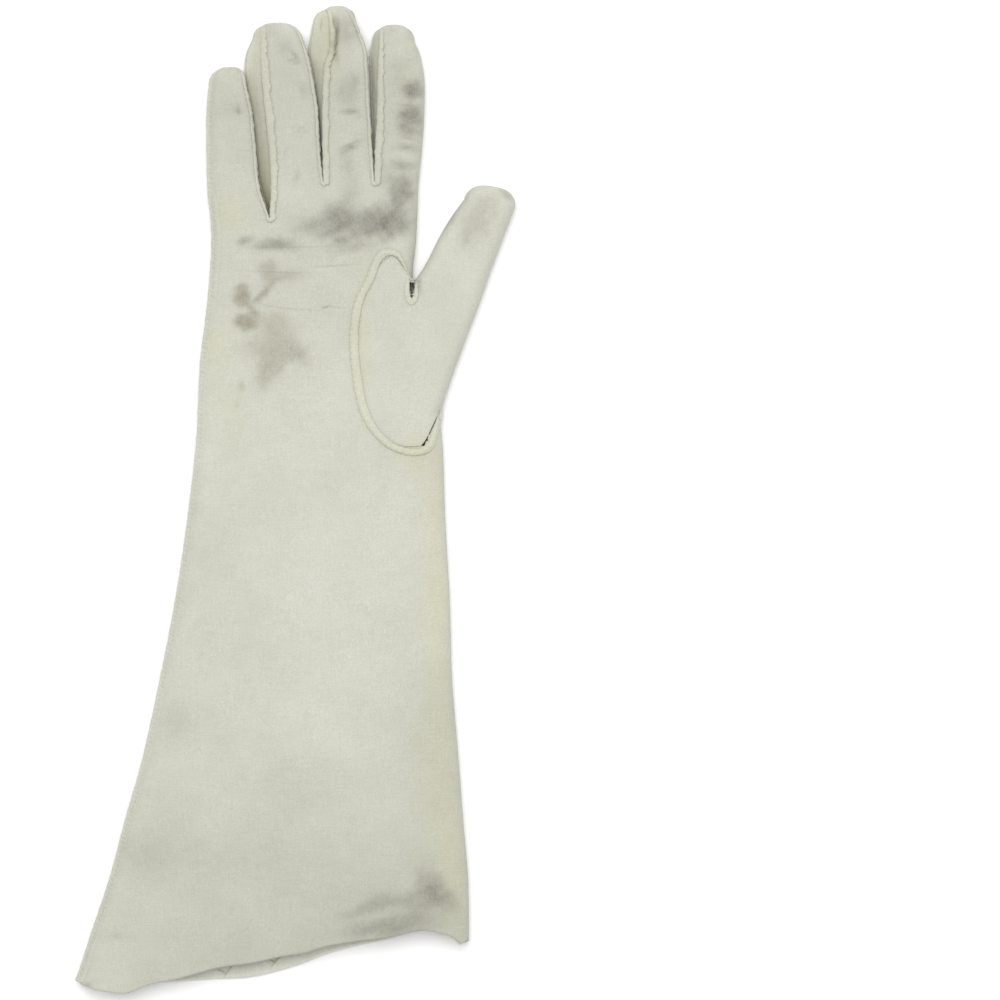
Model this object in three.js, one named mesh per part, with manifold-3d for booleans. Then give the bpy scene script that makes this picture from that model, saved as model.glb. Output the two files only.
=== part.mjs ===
// A long cotton dress glove for the right hand, lying flat with its palm up.
//
// Millimetres. +X runs from the little finger to the thumb, +Y to the fingertips and +Z out of the
// palm. The back of the hand lies on z = 0, and the origin is under the middle of the outline.
// Every cloth piece is a sheet of triangles, worked out on a grid and then given its thickness.

import * as THREE from 'three';
import { mergeVertices } from 'three/addons/utils/BufferGeometryUtils.js';
import Module from 'manifold-3d';

const { clamp, lerp, degToRad, mapLinear } = THREE.MathUtils;
const manifold = await Module();
manifold.setup();

// Cloth
const CLOTH = 1.0; // one layer
const GAP = 0.35; // between two pieces that touch
const HEM_DEPTH = 15; // cloth turned in at the mouth
const MOST_STRETCH = 1.35; // of a wall's offset where the cloth folds sharply

// Section of the hand, cuff and fingers
const FINGER_LOFT = 8.0; // from the back to the top of a finger
const THUMB_LOFT = 8.6;
const EDGE_SHARE = 0.36; // height of a folded edge, as a share of the loft
const HAND_ROUND = 8; // width over which the edges of the hand are rounded
const FINGER_ROUND = 5;
const THUMB_BASE_ROUND = 12; // the same where the thumb leaves the palm
const SLOT_PALM = 7.0; // height of the palm cloth beside a gap between fingers
const SLOT_BACK = 2.2; // height of the back cloth there
const SLOT_LIFT_WIDTH = 5; // width over which the back cloth rises to that height
const CROTCH_DIP = 6; // radius of the dip of the palm at the foot of a gap
const CROTCH_LIFT = 4; // radius of the rise of the back there

// Seams
const SIDE_SEAM_WIDTH = 1.5;
const SIDE_SEAM_HEIGHT = 1.6;
const THUMB_SEAM_WIDTH = 3.4;
const THUMB_SEAM_HEIGHT = 1.1;
const THUMB_SEAM_END = 35; // y where it reaches the fold of the hand
const QUIRK_SEAM_WIDTH = 1.5;
const PALM_SEAM_HEIGHT = 1.0;
const NARROW_SEAM = 1.3; // on the finger left of a gap
const WIDE_SEAM = 2.4; // on the finger right of it
const BACK_SEAM_WIDTH = 1.4;
const BACK_SEAM_HEIGHT = 1.0;
const SEAM_GAP = 0.5; // under a ridge, which is straight between its lines where the cloth curves
const STEEP_GAP = 1.0; // how much more of it where the cloth turns down at a fold
const FOURCHETTE_LIP = 0.5; // how far the fingers' cloth stands past a fourchette
const FOURCHETTE_GAP = 0.6; // between a fourchette's long edges and the fingers' cloth
const FOURCHETTE_FOOT_LEAN = 0.6; // how much its lower edge leans down at the foot of a gap
const FOLD_CLEARANCE = 0.5; // between the fold of the hand and the thumb's under side
const LIP_CUT = 3.1; // height of the hand's lower lip, left standing under the thumb
const CLEAR_HEIGHT = 30; // height to which a cutter reaches, above everything
const CLEAR_REACH = 40; // how far the thumb hole's cutter reaches past the fold
const UNDER_LIP = 1.8; // height of the thumb's under side where it starts at that lip

// Fineness of the grids
const HAND_ROWS = 24;
const FINGER_ROWS = 7;
const THUMB_SEAM_STEPS = 32;
const QUIRK_SEAM_STEPS = 10;
const SIDE_SEAM_FACES = 6;
const TIP_ANGLES = [30, 58, 80];
const TIP_JOIN_ANGLE = 50; // past this, palm and back are sewn to each other
const TIP_FLATTENING = 0.8; // under 1, so that a tip stays thick nearly to its end
const TIP_FULLNESS = 0.72; // under 1, so that a tip stays wide nearly to its end

const COLOURS = { cloth: 0xc9c9b7, fourchette: 0xb8b69f, seam: 0xd3d3c1, hem: 0xbfbfad };
const ROUGHNESS = 0.92;

/** Rows of numbers as objects with named columns. */
function table(columns, ...rows) {
  return rows.map((row) => Object.fromEntries(columns.map((column, i) => [column, row[i]])));
}

/** A smooth curve through one column of a table, read against its rising key column. */
function curve(rows, key, column) {
  const slopes = rows.map((row, i) => {
    const before = rows[Math.max(i - 1, 0)];
    const after = rows[Math.min(i + 1, rows.length - 1)];
    return (after[column] - before[column]) / (after[key] - before[key]);
  });
  return (value) => {
    const at = clamp(value, rows[0][key], rows.at(-1)[key]);
    const next = clamp(rows.findIndex((row) => row[key] >= at), 1, rows.length - 1);
    const [a, b] = [rows[next - 1], rows[next]];
    const span = b[key] - a[key];
    const t = (at - a[key]) / span;
    const chord = (b[column] - a[column]) / span;
    const bend = (1 - t) * slopes[next - 1] - t * slopes[next] + (2 * t - 1) * chord;
    return lerp(a[column], b[column], t) + t * (1 - t) * span * bend;
  };
}

/** Rises from 0 at an edge to 1, as a quarter circle does. */
const rounded = (t) => Math.sqrt(1 - (1 - clamp(t, 0, 1)) ** 2);

const TINY = 1e-6;

/** A bell that is 1 at a point and fades over a radius. */
const bell = (x, y, centre, radius) => Math.exp(-((x - centre.x) ** 2 + (y - centre.y) ** 2) / radius ** 2);

// Outline of the hand and cuff. seam is the outer side of the side seam, fold the thumb side.
const outline = table(
  ['y', 'seam', 'fold', 'loft'],
  [-198, -89.8, 69.8, 10.2],
  [-186, -85.4, 69.8, 10.1],
  [-176, -82.2, 69.8, 10.0],
  [-152, -74.2, 69.4, 9.4],
  [-128, -67.8, 67.4, 8.8],
  [-104, -61.0, 65.6, 8.4],
  [-72, -54.0, 63.0, 8.2],
  [-40, -47.8, 62.0, 8.1],
  [-8, -43.0, 60.2, 8.1],
  [24, -39.4, 59.0, 8.2],
  [40, -38.6, 56.6, 8.3],
  [56, -37.8, 53.6, 8.3],
  [72, -35.8, 50.4, 8.3],
  [88, -34.2, 47.2, 8.2],
  [104, -33.4, 48.6, 8.1],
  [127, -34.6, 49.6, 8.0],
);

// Edges of the mouth: the palm's is cut back, so that the back shows under it.
const mouth = table(
  ['x', 'palm', 'back'],
  [-88, -194.4, -194.4],
  [-75, -197.0, -194.8],
  [-67, -197.4, -194.4],
  [-60, -194.2, -194.0],
  [-48, -191.6, -193.4],
  [-33, -187.2, -192.2],
  [-20, -185.4, -191.6],
  [-8, -182.8, -188.8],
  [2, -181.2, -185.6],
  [10, -178.8, -182.4],
  [22, -176.8, -179.2],
  [36, -175.2, -176.4],
  [50, -172.4, -172.8],
  [58, -173.6, -173.4],
  [64, -175.8, -176.4],
  [69.8, -176.4, -176.4],
);

// Corners between which the fingers stand, from the side seam to the fold.
const corners = table(['x', 'y'], [-34.2, 111], [-10, 112.5], [11.5, 127], [32, 127], [49.6, 127]);
const crotches = corners.slice(1, -1);

// Soft dents of the palm: where, how long, how wide, turned how far from +X, and how deep.
const dents = table(
  ['x', 'y', 'length', 'width', 'turn', 'depth'],
  [56, -155, 14, 8, -35, 1.3],
  [30, -164, 26, 7, 8, 0.6],
  [-58, -142, 16, 9, 60, 0.7],
  [-44, -92, 18, 9, 70, 0.6],
  [42, -62, 16, 8, -60, 0.7],
  [10, 95, 18, 7, -20, 0.6],
  [-6, 76, 16, 8, 10, 0.5],
  [-14, -20, 22, 10, 20, 0.4],
);

// Fingers: palm cloth from the left edge to the right edge, and the back cloth's edges at the same
// heights. The rows run from the foot of the finger to where its tip begins to round.
const FINGER_COLUMNS = ['leftX', 'leftY', 'rightX', 'rightY', 'backLeftX', 'backRightX'];
const SIDE_LANES = [0, 0.05, 0.18, 0.42, 0.7, 0.92, 1];
const MIDDLE_LANES = [0, 0.08, 0.26, 0.5, 0.74, 0.92, 1];
const FOLD_LANES = [0, 0.08, 0.3, 0.58, 0.82, 0.95, 1];
const fingers = [
  {
    name: 'little',
    lanes: SIDE_LANES,
    closed: { left: true, right: false },
    tip: { x: -26.3, y: 173 },
    rows: table(
      FINGER_COLUMNS,
      [-34.2, 111, -10, 112.5, -34.2, -10],
      [-35, 124, -14, 125, -35, -15.6],
      [-35.4, 140, -15.5, 141, -35.4, -17.2],
      [-35.4, 153.5, -17, 155, -35.4, -18.6],
      [-34.6, 165, -19.4, 166, -34.6, -21],
    ),
  },
  {
    name: 'ring',
    lanes: MIDDLE_LANES,
    closed: { left: false, right: false },
    tip: { x: -7, y: 190.8 },
    rows: table(
      FINGER_COLUMNS,
      [-10, 112.5, 11.5, 127, -10, 11.5],
      [-9.5, 123, 10.6, 135, -13.4, 9],
      [-10, 136, 9.9, 145, -15.6, 8],
      [-11.5, 151, 9.3, 156, -17, 7],
      [-13, 166, 7.4, 168, -19.8, 5.6],
      [-13.5, 177, 5.6, 177, -19.8, 4.4],
      [-13.2, 184.5, 3.2, 184.5, -16.9, 2.4],
    ),
  },
  {
    name: 'middle',
    lanes: MIDDLE_LANES,
    closed: { left: false, right: false },
    tip: { x: 17, y: 197.5 },
    rows: table(
      FINGER_COLUMNS,
      [11.5, 127, 32, 127, 11.5, 32],
      [11.2, 140, 31.1, 140, 10.2, 30],
      [11.1, 155.5, 30.2, 155.5, 8.7, 29],
      [12, 168.5, 29.6, 169, 7.2, 28.5],
      [15, 180, 28.6, 180, 5.4, 27.6],
      [14.4, 191, 24.6, 191, 7.2, 24],
    ),
  },
  {
    name: 'index',
    lanes: FOLD_LANES,
    closed: { left: false, right: true },
    tip: { x: 39.6, y: 190 },
    rows: table(
      FINGER_COLUMNS,
      [32, 127, 49.6, 127, 32, 49.6],
      [32.2, 139.5, 50.9, 139.5, 31.2, 50.9],
      [32.9, 151.5, 51.8, 151.5, 30.8, 51.8],
      [33.1, 167.5, 52, 167.5, 30.4, 52],
      [33.5, 178, 50.2, 178, 30, 50.2],
      [34, 183, 48, 183, 30.8, 48],
    ),
  },
];

// Thumb cloth, row by row from the foot of its oval to where its tip begins to round. A row is sewn
// to the palm at both ends, or at its left end only, or is part of the free tube. A row that leaves
// the palm above the thumb's root sags towards the wrist, to pass below the root.
const thumbRows = table(
  ['leftX', 'leftY', 'rightX', 'rightY', 'sag', 'sewn'],
  [44, 20.6, 50, 20.8, 0, 'both'],
  [37, 23.2, 54, 23.2, 0, 'both'],
  [31, 29, 57, 28.8, 0, 'both'],
  [27.2, 36.4, 58.8, 37.4, 0, 'both'],
  [25.2, 47, 62.4, 47.2, 0, 'left'],
  [24.2, 59, 65.2, 55, 0, 'left'],
  [24.4, 71, 67.8, 62, 0, 'left'],
  [26.2, 80, 69.7, 67, 0, 'left'],
  [30, 88.4, 71.2, 71, 0.4, 'left'],
  [34.6, 94.2, 72.6, 74.5, 4.2, 'left'],
  [39.2, 95.2, 73.7, 77.5, 5.7, 'left'],
  [44, 92, 74.7, 80.5, 4.6, 'left'],
  [47.9, 87.6, 76, 84, 0, 'free'],
  [53, 95.2, 78, 90, 0, 'free'],
  [57.8, 104.8, 81.6, 99.6, 0, 'free'],
  [62.8, 113.2, 84.8, 108, 0, 'free'],
  [67.8, 120, 88.2, 116.6, 0, 'free'],
);
const thumbTip = { x: 79.4, y: 125.2 };
const THUMB_LANES = [0, 0.08, 0.25, 0.45, 0.65, 0.82, 0.94, 1];
const quirkSlit = { x: 46.3, top: 86.6, foot: 79.4, width: 1.5 };
const quirkLoop = table(
  ['x', 'y'],
  [45, 89.4],
  [43.9, 84.5],
  [44.2, 79.5],
  [46.3, 76.8],
  [48.4, 79.5],
  [48.6, 84],
);

/** Triangles of one layer of cloth, on grids that share their edges. */
class Sheet {
  constructor() {
    this.points = [];
    this.indices = new Map();
    this.triangles = [];
  }

  /** Index of a point, the same for points at one place. */
  indexOf(point) {
    const key = point.toArray().map((value) => Math.round(value * 1e4)).join();
    if (!this.indices.has(key)) {
      this.indices.set(key, this.points.length);
      this.points.push(point);
    }
    return this.indices.get(key);
  }

  /** Adds rows of equally many points. Seen from outside, rows run up and points run right. */
  addGrid(rows, flipped = false) {
    const grid = rows.map((row) => row.map((point) => this.indexOf(point)));
    for (let i = 1; i < grid.length; i += 1) {
      for (let j = 1; j < grid[i].length; j += 1) {
        const [a, b, c, d] = [grid[i - 1][j - 1], grid[i - 1][j], grid[i][j], grid[i][j - 1]];
        this.addTriangle(a, b, c, flipped);
        this.addTriangle(a, c, d, flipped);
      }
    }
    return this;
  }

  addTriangle(a, b, c, flipped) {
    if (a === b || b === c || c === a) return;
    this.triangles.push(flipped ? [a, c, b] : [a, b, c]);
  }

  /** Normal of each triangle, as long as twice its area. */
  crossProducts() {
    return this.triangles.map(([a, b, c]) => {
      const ab = this.points[b].clone().sub(this.points[a]);
      const ac = this.points[c].clone().sub(this.points[a]);
      return ab.cross(ac);
    });
  }

  /** Normal at each point, and the stretch that keeps a wall's thickness where the cloth folds. */
  shading() {
    if (this.shades) return this.shades;
    const faces = this.crossProducts();
    const normals = this.points.map(() => new THREE.Vector3());
    this.triangles.forEach((triangle, t) => triangle.forEach((i) => normals[i].add(faces[t])));
    normals.forEach((normal) => normal.normalize());
    const cosines = this.points.map(() => 1);
    this.triangles.forEach((triangle, t) => {
      const face = faces[t].clone().normalize();
      triangle.forEach((i) => {
        cosines[i] = Math.min(cosines[i], face.dot(normals[i]));
      });
    });
    const stretches = cosines.map((cosine) => 1 / Math.max(cosine, 1 / MOST_STRETCH));
    this.shades = { normals, stretches };
    return this.shades;
  }

  /** Every point moved in by a distance. */
  inset(distance) {
    const { normals, stretches } = this.shading();
    return this.points.map((point, i) => {
      return point.clone().addScaledVector(normals[i], -distance * stretches[i]);
    });
  }

  /** The closed solid between this layer and the same layer moved in by the cloth's thickness. */
  thicken(thickness = CLOTH) {
    const count = this.points.length;
    const positions = [...this.points, ...this.inset(thickness)].flatMap((point) => point.toArray());
    const index = [];
    const borders = new Map();
    for (const [a, b, c] of this.triangles) {
      index.push(a, b, c, a + count, c + count, b + count);
      for (const [from, to] of [[a, b], [b, c], [c, a]]) {
        if (!borders.delete(`${to},${from}`)) borders.set(`${from},${to}`, [from, to]);
      }
    }
    for (const [from, to] of borders.values()) {
      index.push(to, from, from + count, to, from + count, to + count);
    }
    return solidGeometry(positions, index);
  }

  /** Highest point of the sheet over a place, with its normal, or undefined beside the sheet. */
  surfaceAt(x, y) {
    const { normals } = this.shading();
    let found;
    for (const triangle of this.triangles) {
      const [a, b, c] = triangle.map((i) => this.points[i]);
      const area = (b.x - a.x) * (c.y - a.y) - (c.x - a.x) * (b.y - a.y);
      if (Math.abs(area) < TINY) continue;
      const s = ((x - a.x) * (c.y - a.y) - (c.x - a.x) * (y - a.y)) / area;
      const t = ((b.x - a.x) * (y - a.y) - (x - a.x) * (b.y - a.y)) / area;
      if (s < -TINY || t < -TINY || s + t > 1 + TINY) continue;
      const z = a.z + s * (b.z - a.z) + t * (c.z - a.z);
      if (found && found.point.z >= z) continue;
      const [na, nb, nc] = triangle.map((i) => normals[i]);
      const normal = na.clone().multiplyScalar(1 - s - t).addScaledVector(nb, s).addScaledVector(nc, t);
      found = { point: new THREE.Vector3(x, y, z), normal: normal.normalize() };
    }
    return found;
  }

  /** A point of the sheet with its normal. */
  at(point) {
    return { point, normal: this.shading().normals[this.indexOf(point)] };
  }
}

/** A BufferGeometry from plain lists of coordinates and corners. */
function solidGeometry(positions, index) {
  const geometry = new THREE.BufferGeometry();
  geometry.setAttribute('position', new THREE.Float32BufferAttribute(positions, 3));
  geometry.setIndex(index);
  return geometry;
}

/** A closed geometry as a solid that can be cut. */
function toSolid(geometry) {
  const bare = geometry.clone();
  bare.deleteAttribute('normal');
  bare.deleteAttribute('uv');
  const merged = mergeVertices(bare, 1e-4);
  const mesh = new manifold.Mesh({
    numProp: 3,
    vertProperties: merged.attributes.position.array,
    triVerts: new Uint32Array(merged.index.array),
  });
  return new manifold.Manifold(mesh);
}

/** The geometry of a solid that was cut. */
function fromSolid(solid) {
  const { vertProperties, triVerts } = solid.getMesh();
  return solidGeometry([...vertProperties], [...triVerts]);
}

/** A vertical prism over a flat outline, from one height to another. */
function prism(points, bottom, top) {
  const shape = new THREE.Shape(points.map(({ x, y }) => new THREE.Vector2(x, y)));
  const geometry = new THREE.ExtrudeGeometry(shape, { depth: top - bottom, bevelEnabled: false });
  return toSolid(geometry.translate(0, 0, bottom));
}

/** A closed bar through rings of equally many points, which turn anticlockwise seen along the bar. */
function sweep(rings) {
  const size = rings[0].length;
  const index = [];
  for (let i = 1; i < rings.length; i += 1) {
    for (let j = 0; j < size; j += 1) {
      const next = (j + 1) % size;
      const [a, b, c, d] = [(i - 1) * size + j, (i - 1) * size + next, i * size + next, i * size + j];
      index.push(a, c, b, a, d, c);
    }
  }
  const last = (rings.length - 1) * size;
  for (let j = 1; j < size - 1; j += 1) {
    index.push(0, j, j + 1, last, last + j + 1, last + j);
  }
  return solidGeometry(rings.flat().flatMap((point) => point.toArray()), index);
}

// Hand and cuff

const seamInset = SIDE_SEAM_WIDTH + GAP;
const seamCurve = curve(outline, 'y', 'seam');
const foldEdge = curve(outline, 'y', 'fold');
const loftAt = curve(outline, 'y', 'loft');
const mouthEdges = { palm: curve(mouth, 'x', 'palm'), back: curve(mouth, 'x', 'back') };
const seamEdge = (y) => seamCurve(y) + seamInset;

/** Share of the rounding that is done at a place, 0 at both edges of the hand and 1 inside. */
function handRise(x, y) {
  return rounded((x - seamEdge(y)) / HAND_ROUND) * rounded((foldEdge(y) - x) / HAND_ROUND);
}

/** Depth of all dents of the palm at a place. */
function dentDepth(x, y) {
  return dents.reduce((depth, dent) => {
    const turn = degToRad(dent.turn);
    const [dx, dy] = [x - dent.x, y - dent.y];
    const along = (dx * Math.cos(turn) + dy * Math.sin(turn)) / dent.length;
    const across = (dy * Math.cos(turn) - dx * Math.sin(turn)) / dent.width;
    return depth + dent.depth * Math.exp(-(along ** 2) - across ** 2);
  }, 0);
}

/** Height of the palm's outer side. */
function palmHeight(x, y) {
  const loft = loftAt(y);
  const dip = Math.max(...crotches.map((crotch) => bell(x, y, crotch, CROTCH_DIP)));
  const edge = EDGE_SHARE * loft;
  return edge + (loft - dentDepth(x, y) - dip * (loft - SLOT_PALM) - edge) * handRise(x, y);
}

/** Height of the back's outer side, which lies flat but for its edges. */
function backHeight(x, y) {
  const lift = Math.max(...crotches.map((crotch) => bell(x, y, crotch, CROTCH_LIFT)));
  return EDGE_SHARE * loftAt(y) * (1 - handRise(x, y)) + SLOT_BACK * lift * handRise(x, y);
}

const cornerShares = corners.map(({ x, y }, i) => {
  if (i === 0 || i === corners.length - 1) return i / (corners.length - 1);
  return (x - seamEdge(y)) / (foldEdge(y) - seamEdge(y));
});
const handLanes = [0];
fingers.forEach(({ lanes }, i) => {
  const [from, to] = [cornerShares[i], cornerShares[i + 1]];
  handLanes.push(...lanes.slice(1).map((t) => lerp(from, to, t)));
});

/** y of the line on which the fingers stand. */
function fingerLine(share) {
  const next = clamp(cornerShares.findIndex((corner) => corner >= share - TINY), 1, corners.length - 1);
  const t = (share - cornerShares[next - 1]) / (cornerShares[next] - cornerShares[next - 1]);
  return lerp(corners[next - 1].y, corners[next].y, t);
}

/** One row of the hand, at a share of the way from the mouth to the fingers. */
function handRow(layer, along) {
  const height = layer === 'palm' ? palmHeight : backHeight;
  return handLanes.map((share) => {
    const mouthX = lerp(mouth[0].x, mouth.at(-1).x, share);
    const y = lerp(mouthEdges[layer](mouthX), fingerLine(share), along);
    const x = lerp(seamEdge(y), foldEdge(y), share);
    return new THREE.Vector3(x, y, height(x, y));
  });
}

const handLength = corners[2].y - mouthEdges.palm(corners[2].x);
const hemShare = HEM_DEPTH / handLength;
const handSteps = [
  0,
  hemShare / 2,
  ...Array.from({ length: HAND_ROWS }, (_, i) => lerp(hemShare, 1, i / (HAND_ROWS - 1))),
];
const handGrids = {
  palm: handSteps.map((step) => handRow('palm', step)),
  back: handSteps.map((step) => handRow('back', step)),
};

// Fingers

/** The point of a finger, below the side seam where that runs round it. */
function fingerTip(finger, z = 0) {
  return new THREE.Vector3(finger.tip.x, finger.tip.y - (finger.closed.left ? seamInset : 0), z);
}

/** A row across a finger: its place along the table's rows, or past them by an angle of the tip. */
function fingerRow(finger, layer, place, angle = 0) {
  const at = finger.rows.map((row, i) => ({ ...row, at: i }));
  const read = (column) => curve(at, 'at', column)(place * (at.length - 1));
  const sewn = angle > TIP_JOIN_ANGLE;
  const closed = { left: finger.closed.left || sewn, right: finger.closed.right || sewn };
  const cloth = { left: read('leftX'), right: read('rightX') };
  const back = { left: read('backLeftX'), right: read('backRightX') };
  const pick = (side) => {
    if (sewn) return (cloth[side] + back[side]) / 2;
    return layer === 'palm' ? cloth[side] : back[side];
  };
  const left = new THREE.Vector3(pick('left') + (finger.closed.left ? seamInset : 0), read('leftY'), 0);
  const right = new THREE.Vector3(pick('right'), read('rightY'), 0);
  const middle = left.clone().add(right).multiplyScalar(0.5);
  const tip = fingerTip(finger);
  const width = left.distanceTo(right);
  const [sine, cosine] = [Math.sin(degToRad(angle)), Math.cos(degToRad(angle))];
  const edge = EDGE_SHARE * FINGER_LOFT;
  return finger.lanes.map((share) => {
    const point = left.clone().lerp(right, share).sub(middle).multiplyScalar(cosine ** TIP_FULLNESS);
    point.add(middle).addScaledVector(tip.clone().sub(middle), sine);
    const height = layer === 'palm' ? fingerTop : fingerUnder;
    const z = height(share, width, closed, edge);
    point.z = edge + (z - edge) * cosine ** TIP_FLATTENING;
    return point;
  });
}

/** Height of a finger's palm cloth across its width. */
function fingerTop(share, width, closed, edge) {
  const base = lerp(closed.left ? edge : SLOT_PALM, closed.right ? edge : SLOT_PALM, share);
  const rise = rounded((share * width) / FINGER_ROUND) * rounded(((1 - share) * width) / FINGER_ROUND);
  return base + (FINGER_LOFT - base) * rise;
}

/** Height of a finger's back cloth across its width. */
function fingerUnder(share, width, closed, edge) {
  const side = (distance, isClosed) => {
    if (isClosed) return edge * (1 - rounded(distance / FINGER_ROUND));
    return (SLOT_BACK * (1 + Math.cos(Math.PI * clamp(distance / SLOT_LIFT_WIDTH, 0, 1)))) / 2;
  };
  return side(share * width, closed.left) + side((1 - share) * width, closed.right);
}

/** All rows of a finger above its foot. */
function fingerRows(finger, layer) {
  const rows = [];
  for (let i = 1; i <= FINGER_ROWS; i += 1) rows.push(fingerRow(finger, layer, i / FINGER_ROWS));
  for (const angle of TIP_ANGLES) rows.push(fingerRow(finger, layer, 1, angle));
  const last = rows.at(-1);
  const tip = fingerTip(finger, last[0].z);
  rows.push(last.map(() => tip));
  return rows;
}

for (const finger of fingers) {
  finger.palm = fingerRows(finger, 'palm');
  finger.back = fingerRows(finger, 'back');
}

/** The cloth of the hand, cuff and fingers, as one sheet. */
function trankSheet() {
  const sheet = new Sheet();
  sheet.addGrid(handGrids.palm).addGrid(handGrids.back, true);
  let lane = 0;
  for (const finger of fingers) {
    const end = lane + finger.lanes.length;
    sheet.addGrid([handGrids.palm.at(-1).slice(lane, end), ...finger.palm]);
    sheet.addGrid([handGrids.back.at(-1).slice(lane, end), ...finger.back], true);
    lane = end - 1;
  }
  return sheet;
}

// Thumb

const thumbBorder = {
  left: thumbRows.filter((row) => row.sewn !== 'free').map((row) => ({ x: row.leftX, y: row.leftY })),
  right: thumbRows.filter((row) => row.sewn === 'both').map((row) => ({ x: row.rightX, y: row.rightY })),
};
const thumbFoot = thumbRows.findLast((row) => row.sewn === 'both');
const thumbRoot = thumbRows.find((row) => row.sewn === 'free');
const THUMB_EDGE = EDGE_SHARE * THUMB_LOFT;

/** The end of a row of the thumb: on the palm where it is sewn, or at the free edge's height. */
function thumbEnd(x, y, isSewn) {
  return new THREE.Vector3(x, y, isSewn ? palmHeight(x, y) : THUMB_EDGE);
}

/** A row of the thumb's upper side. */
function thumbTopRow(row, angle = 0) {
  const left = thumbEnd(row.leftX, row.leftY, row.sewn !== 'free');
  const right = thumbEnd(row.rightX, row.rightY, row.sewn === 'both');
  const width = left.distanceTo(right);
  const base = row.sewn === 'free' ? FINGER_ROUND : THUMB_BASE_ROUND;
  const points = THUMB_LANES.map((share) => {
    const point = left.clone().lerp(right, share);
    const rise = rounded((share * width) / base) * rounded(((1 - share) * width) / FINGER_ROUND);
    point.y -= row.sag * Math.sin(Math.PI * Math.sqrt(share));
    point.z += (THUMB_LOFT - point.z) * rise;
    return point;
  });
  return tipped(points, left, right, angle);
}

/** A row of the thumb's under side, from its left end, which is at the fold of the hand, or free. */
function thumbUnderRow(row, angle = 0) {
  const right = new THREE.Vector3(row.rightX, row.rightY, THUMB_EDGE);
  const left = new THREE.Vector3(row.leftX, row.leftY, THUMB_EDGE);
  if (row.sewn === 'left') {
    const y = mapLinear(row.rightY, thumbFoot.rightY, thumbRoot.rightY, thumbFoot.rightY, thumbRoot.leftY);
    left.set(foldEdge(y) + FOLD_CLEARANCE, y, UNDER_LIP);
  }
  const width = left.distanceTo(right);
  const points = THUMB_LANES.map((share) => {
    const point = left.clone().lerp(right, share);
    const fall = rounded((share * width) / FINGER_ROUND) * rounded(((1 - share) * width) / FINGER_ROUND);
    point.z *= 1 - fall;
    return point;
  });
  return tipped(points, left, right, angle);
}

/** A row moved out by an angle of the thumb's round tip. */
function tipped(points, left, right, angle) {
  if (angle === 0) return points;
  const middle = left.clone().add(right).multiplyScalar(0.5).setZ(0);
  const reach = new THREE.Vector3(thumbTip.x, thumbTip.y, 0).sub(middle);
  const [sine, cosine] = [Math.sin(degToRad(angle)), Math.cos(degToRad(angle))];
  return points.map((point) => {
    const z = THUMB_EDGE + (point.z - THUMB_EDGE) * cosine ** TIP_FLATTENING;
    const across = point.clone().sub(middle).multiplyScalar(cosine ** TIP_FULLNESS);
    return across.add(middle).addScaledVector(reach, sine).setZ(z);
  });
}

/** The thumb's cloth, as one sheet that is open at the palm. */
function thumbSheet() {
  const shoulder = thumbRows.at(-1);
  const end = new THREE.Vector3(thumbTip.x, thumbTip.y, THUMB_EDGE);
  const top = thumbRows.map((row) => thumbTopRow(row));
  const under = thumbRows.filter((row) => row.sewn !== 'both').map((row) => thumbUnderRow(row));
  for (const angle of TIP_ANGLES) {
    top.push(thumbTopRow(shoulder, angle));
    under.push(thumbUnderRow(shoulder, angle));
  }
  top.push(THUMB_LANES.map(() => end));
  under.push(THUMB_LANES.map(() => end));
  const lastSewn = top[thumbBorder.right.length - 1].at(-1);
  under.unshift(THUMB_LANES.map(() => lastSewn));
  return new Sheet().addGrid(top).addGrid(under, true);
}

/** Flat outline of the hole in the hand into which the thumb is set, open past the fold. */
function thumbHole() {
  const root = { x: thumbRoot.leftX, y: thumbRoot.leftY };
  const line = [root, ...[...thumbBorder.left].reverse(), ...thumbBorder.right];
  const moved = line.map((point, i) => {
    const before = line[Math.max(i - 1, 0)];
    const after = line[Math.min(i + 1, line.length - 1)];
    const length = Math.hypot(after.x - before.x, after.y - before.y);
    return {
      x: point.x + (GAP * (after.y - before.y)) / length,
      y: point.y - (GAP * (after.x - before.x)) / length,
    };
  });
  const beyond = foldEdge(0) + CLEAR_REACH;
  return [...moved, { x: beyond, y: moved.at(-1).y }, { x: beyond, y: moved[0].y }];
}

// Seams and fourchettes

/** The two edges of a gap between fingers, from tip to foot to tip, each with the way into the cloth. */
function gapStations(leftFinger, rightFinger, layer) {
  const openRows = FINGER_ROWS + TIP_ANGLES.filter((angle) => angle < TIP_JOIN_ANGLE).length;
  const foot = crotches[fingers.indexOf(leftFinger)];
  const height = layer === 'palm' ? palmHeight : backHeight;
  const up = leftFinger[layer].slice(0, openRows).reverse().map((row) => {
    const point = row.at(-1);
    return { point, inward: row[0].clone().sub(point).setZ(0).normalize(), side: 'left' };
  });
  const down = rightFinger[layer].slice(0, openRows).map((row) => {
    const point = row[0];
    return { point, inward: row.at(-1).clone().sub(point).setZ(0).normalize(), side: 'right' };
  });
  const bottom = new THREE.Vector3(foot.x, foot.y, height(foot.x, foot.y));
  return [...up, { point: bottom, inward: new THREE.Vector3(0, -1, 0), side: 'foot' }, ...down];
}

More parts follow.
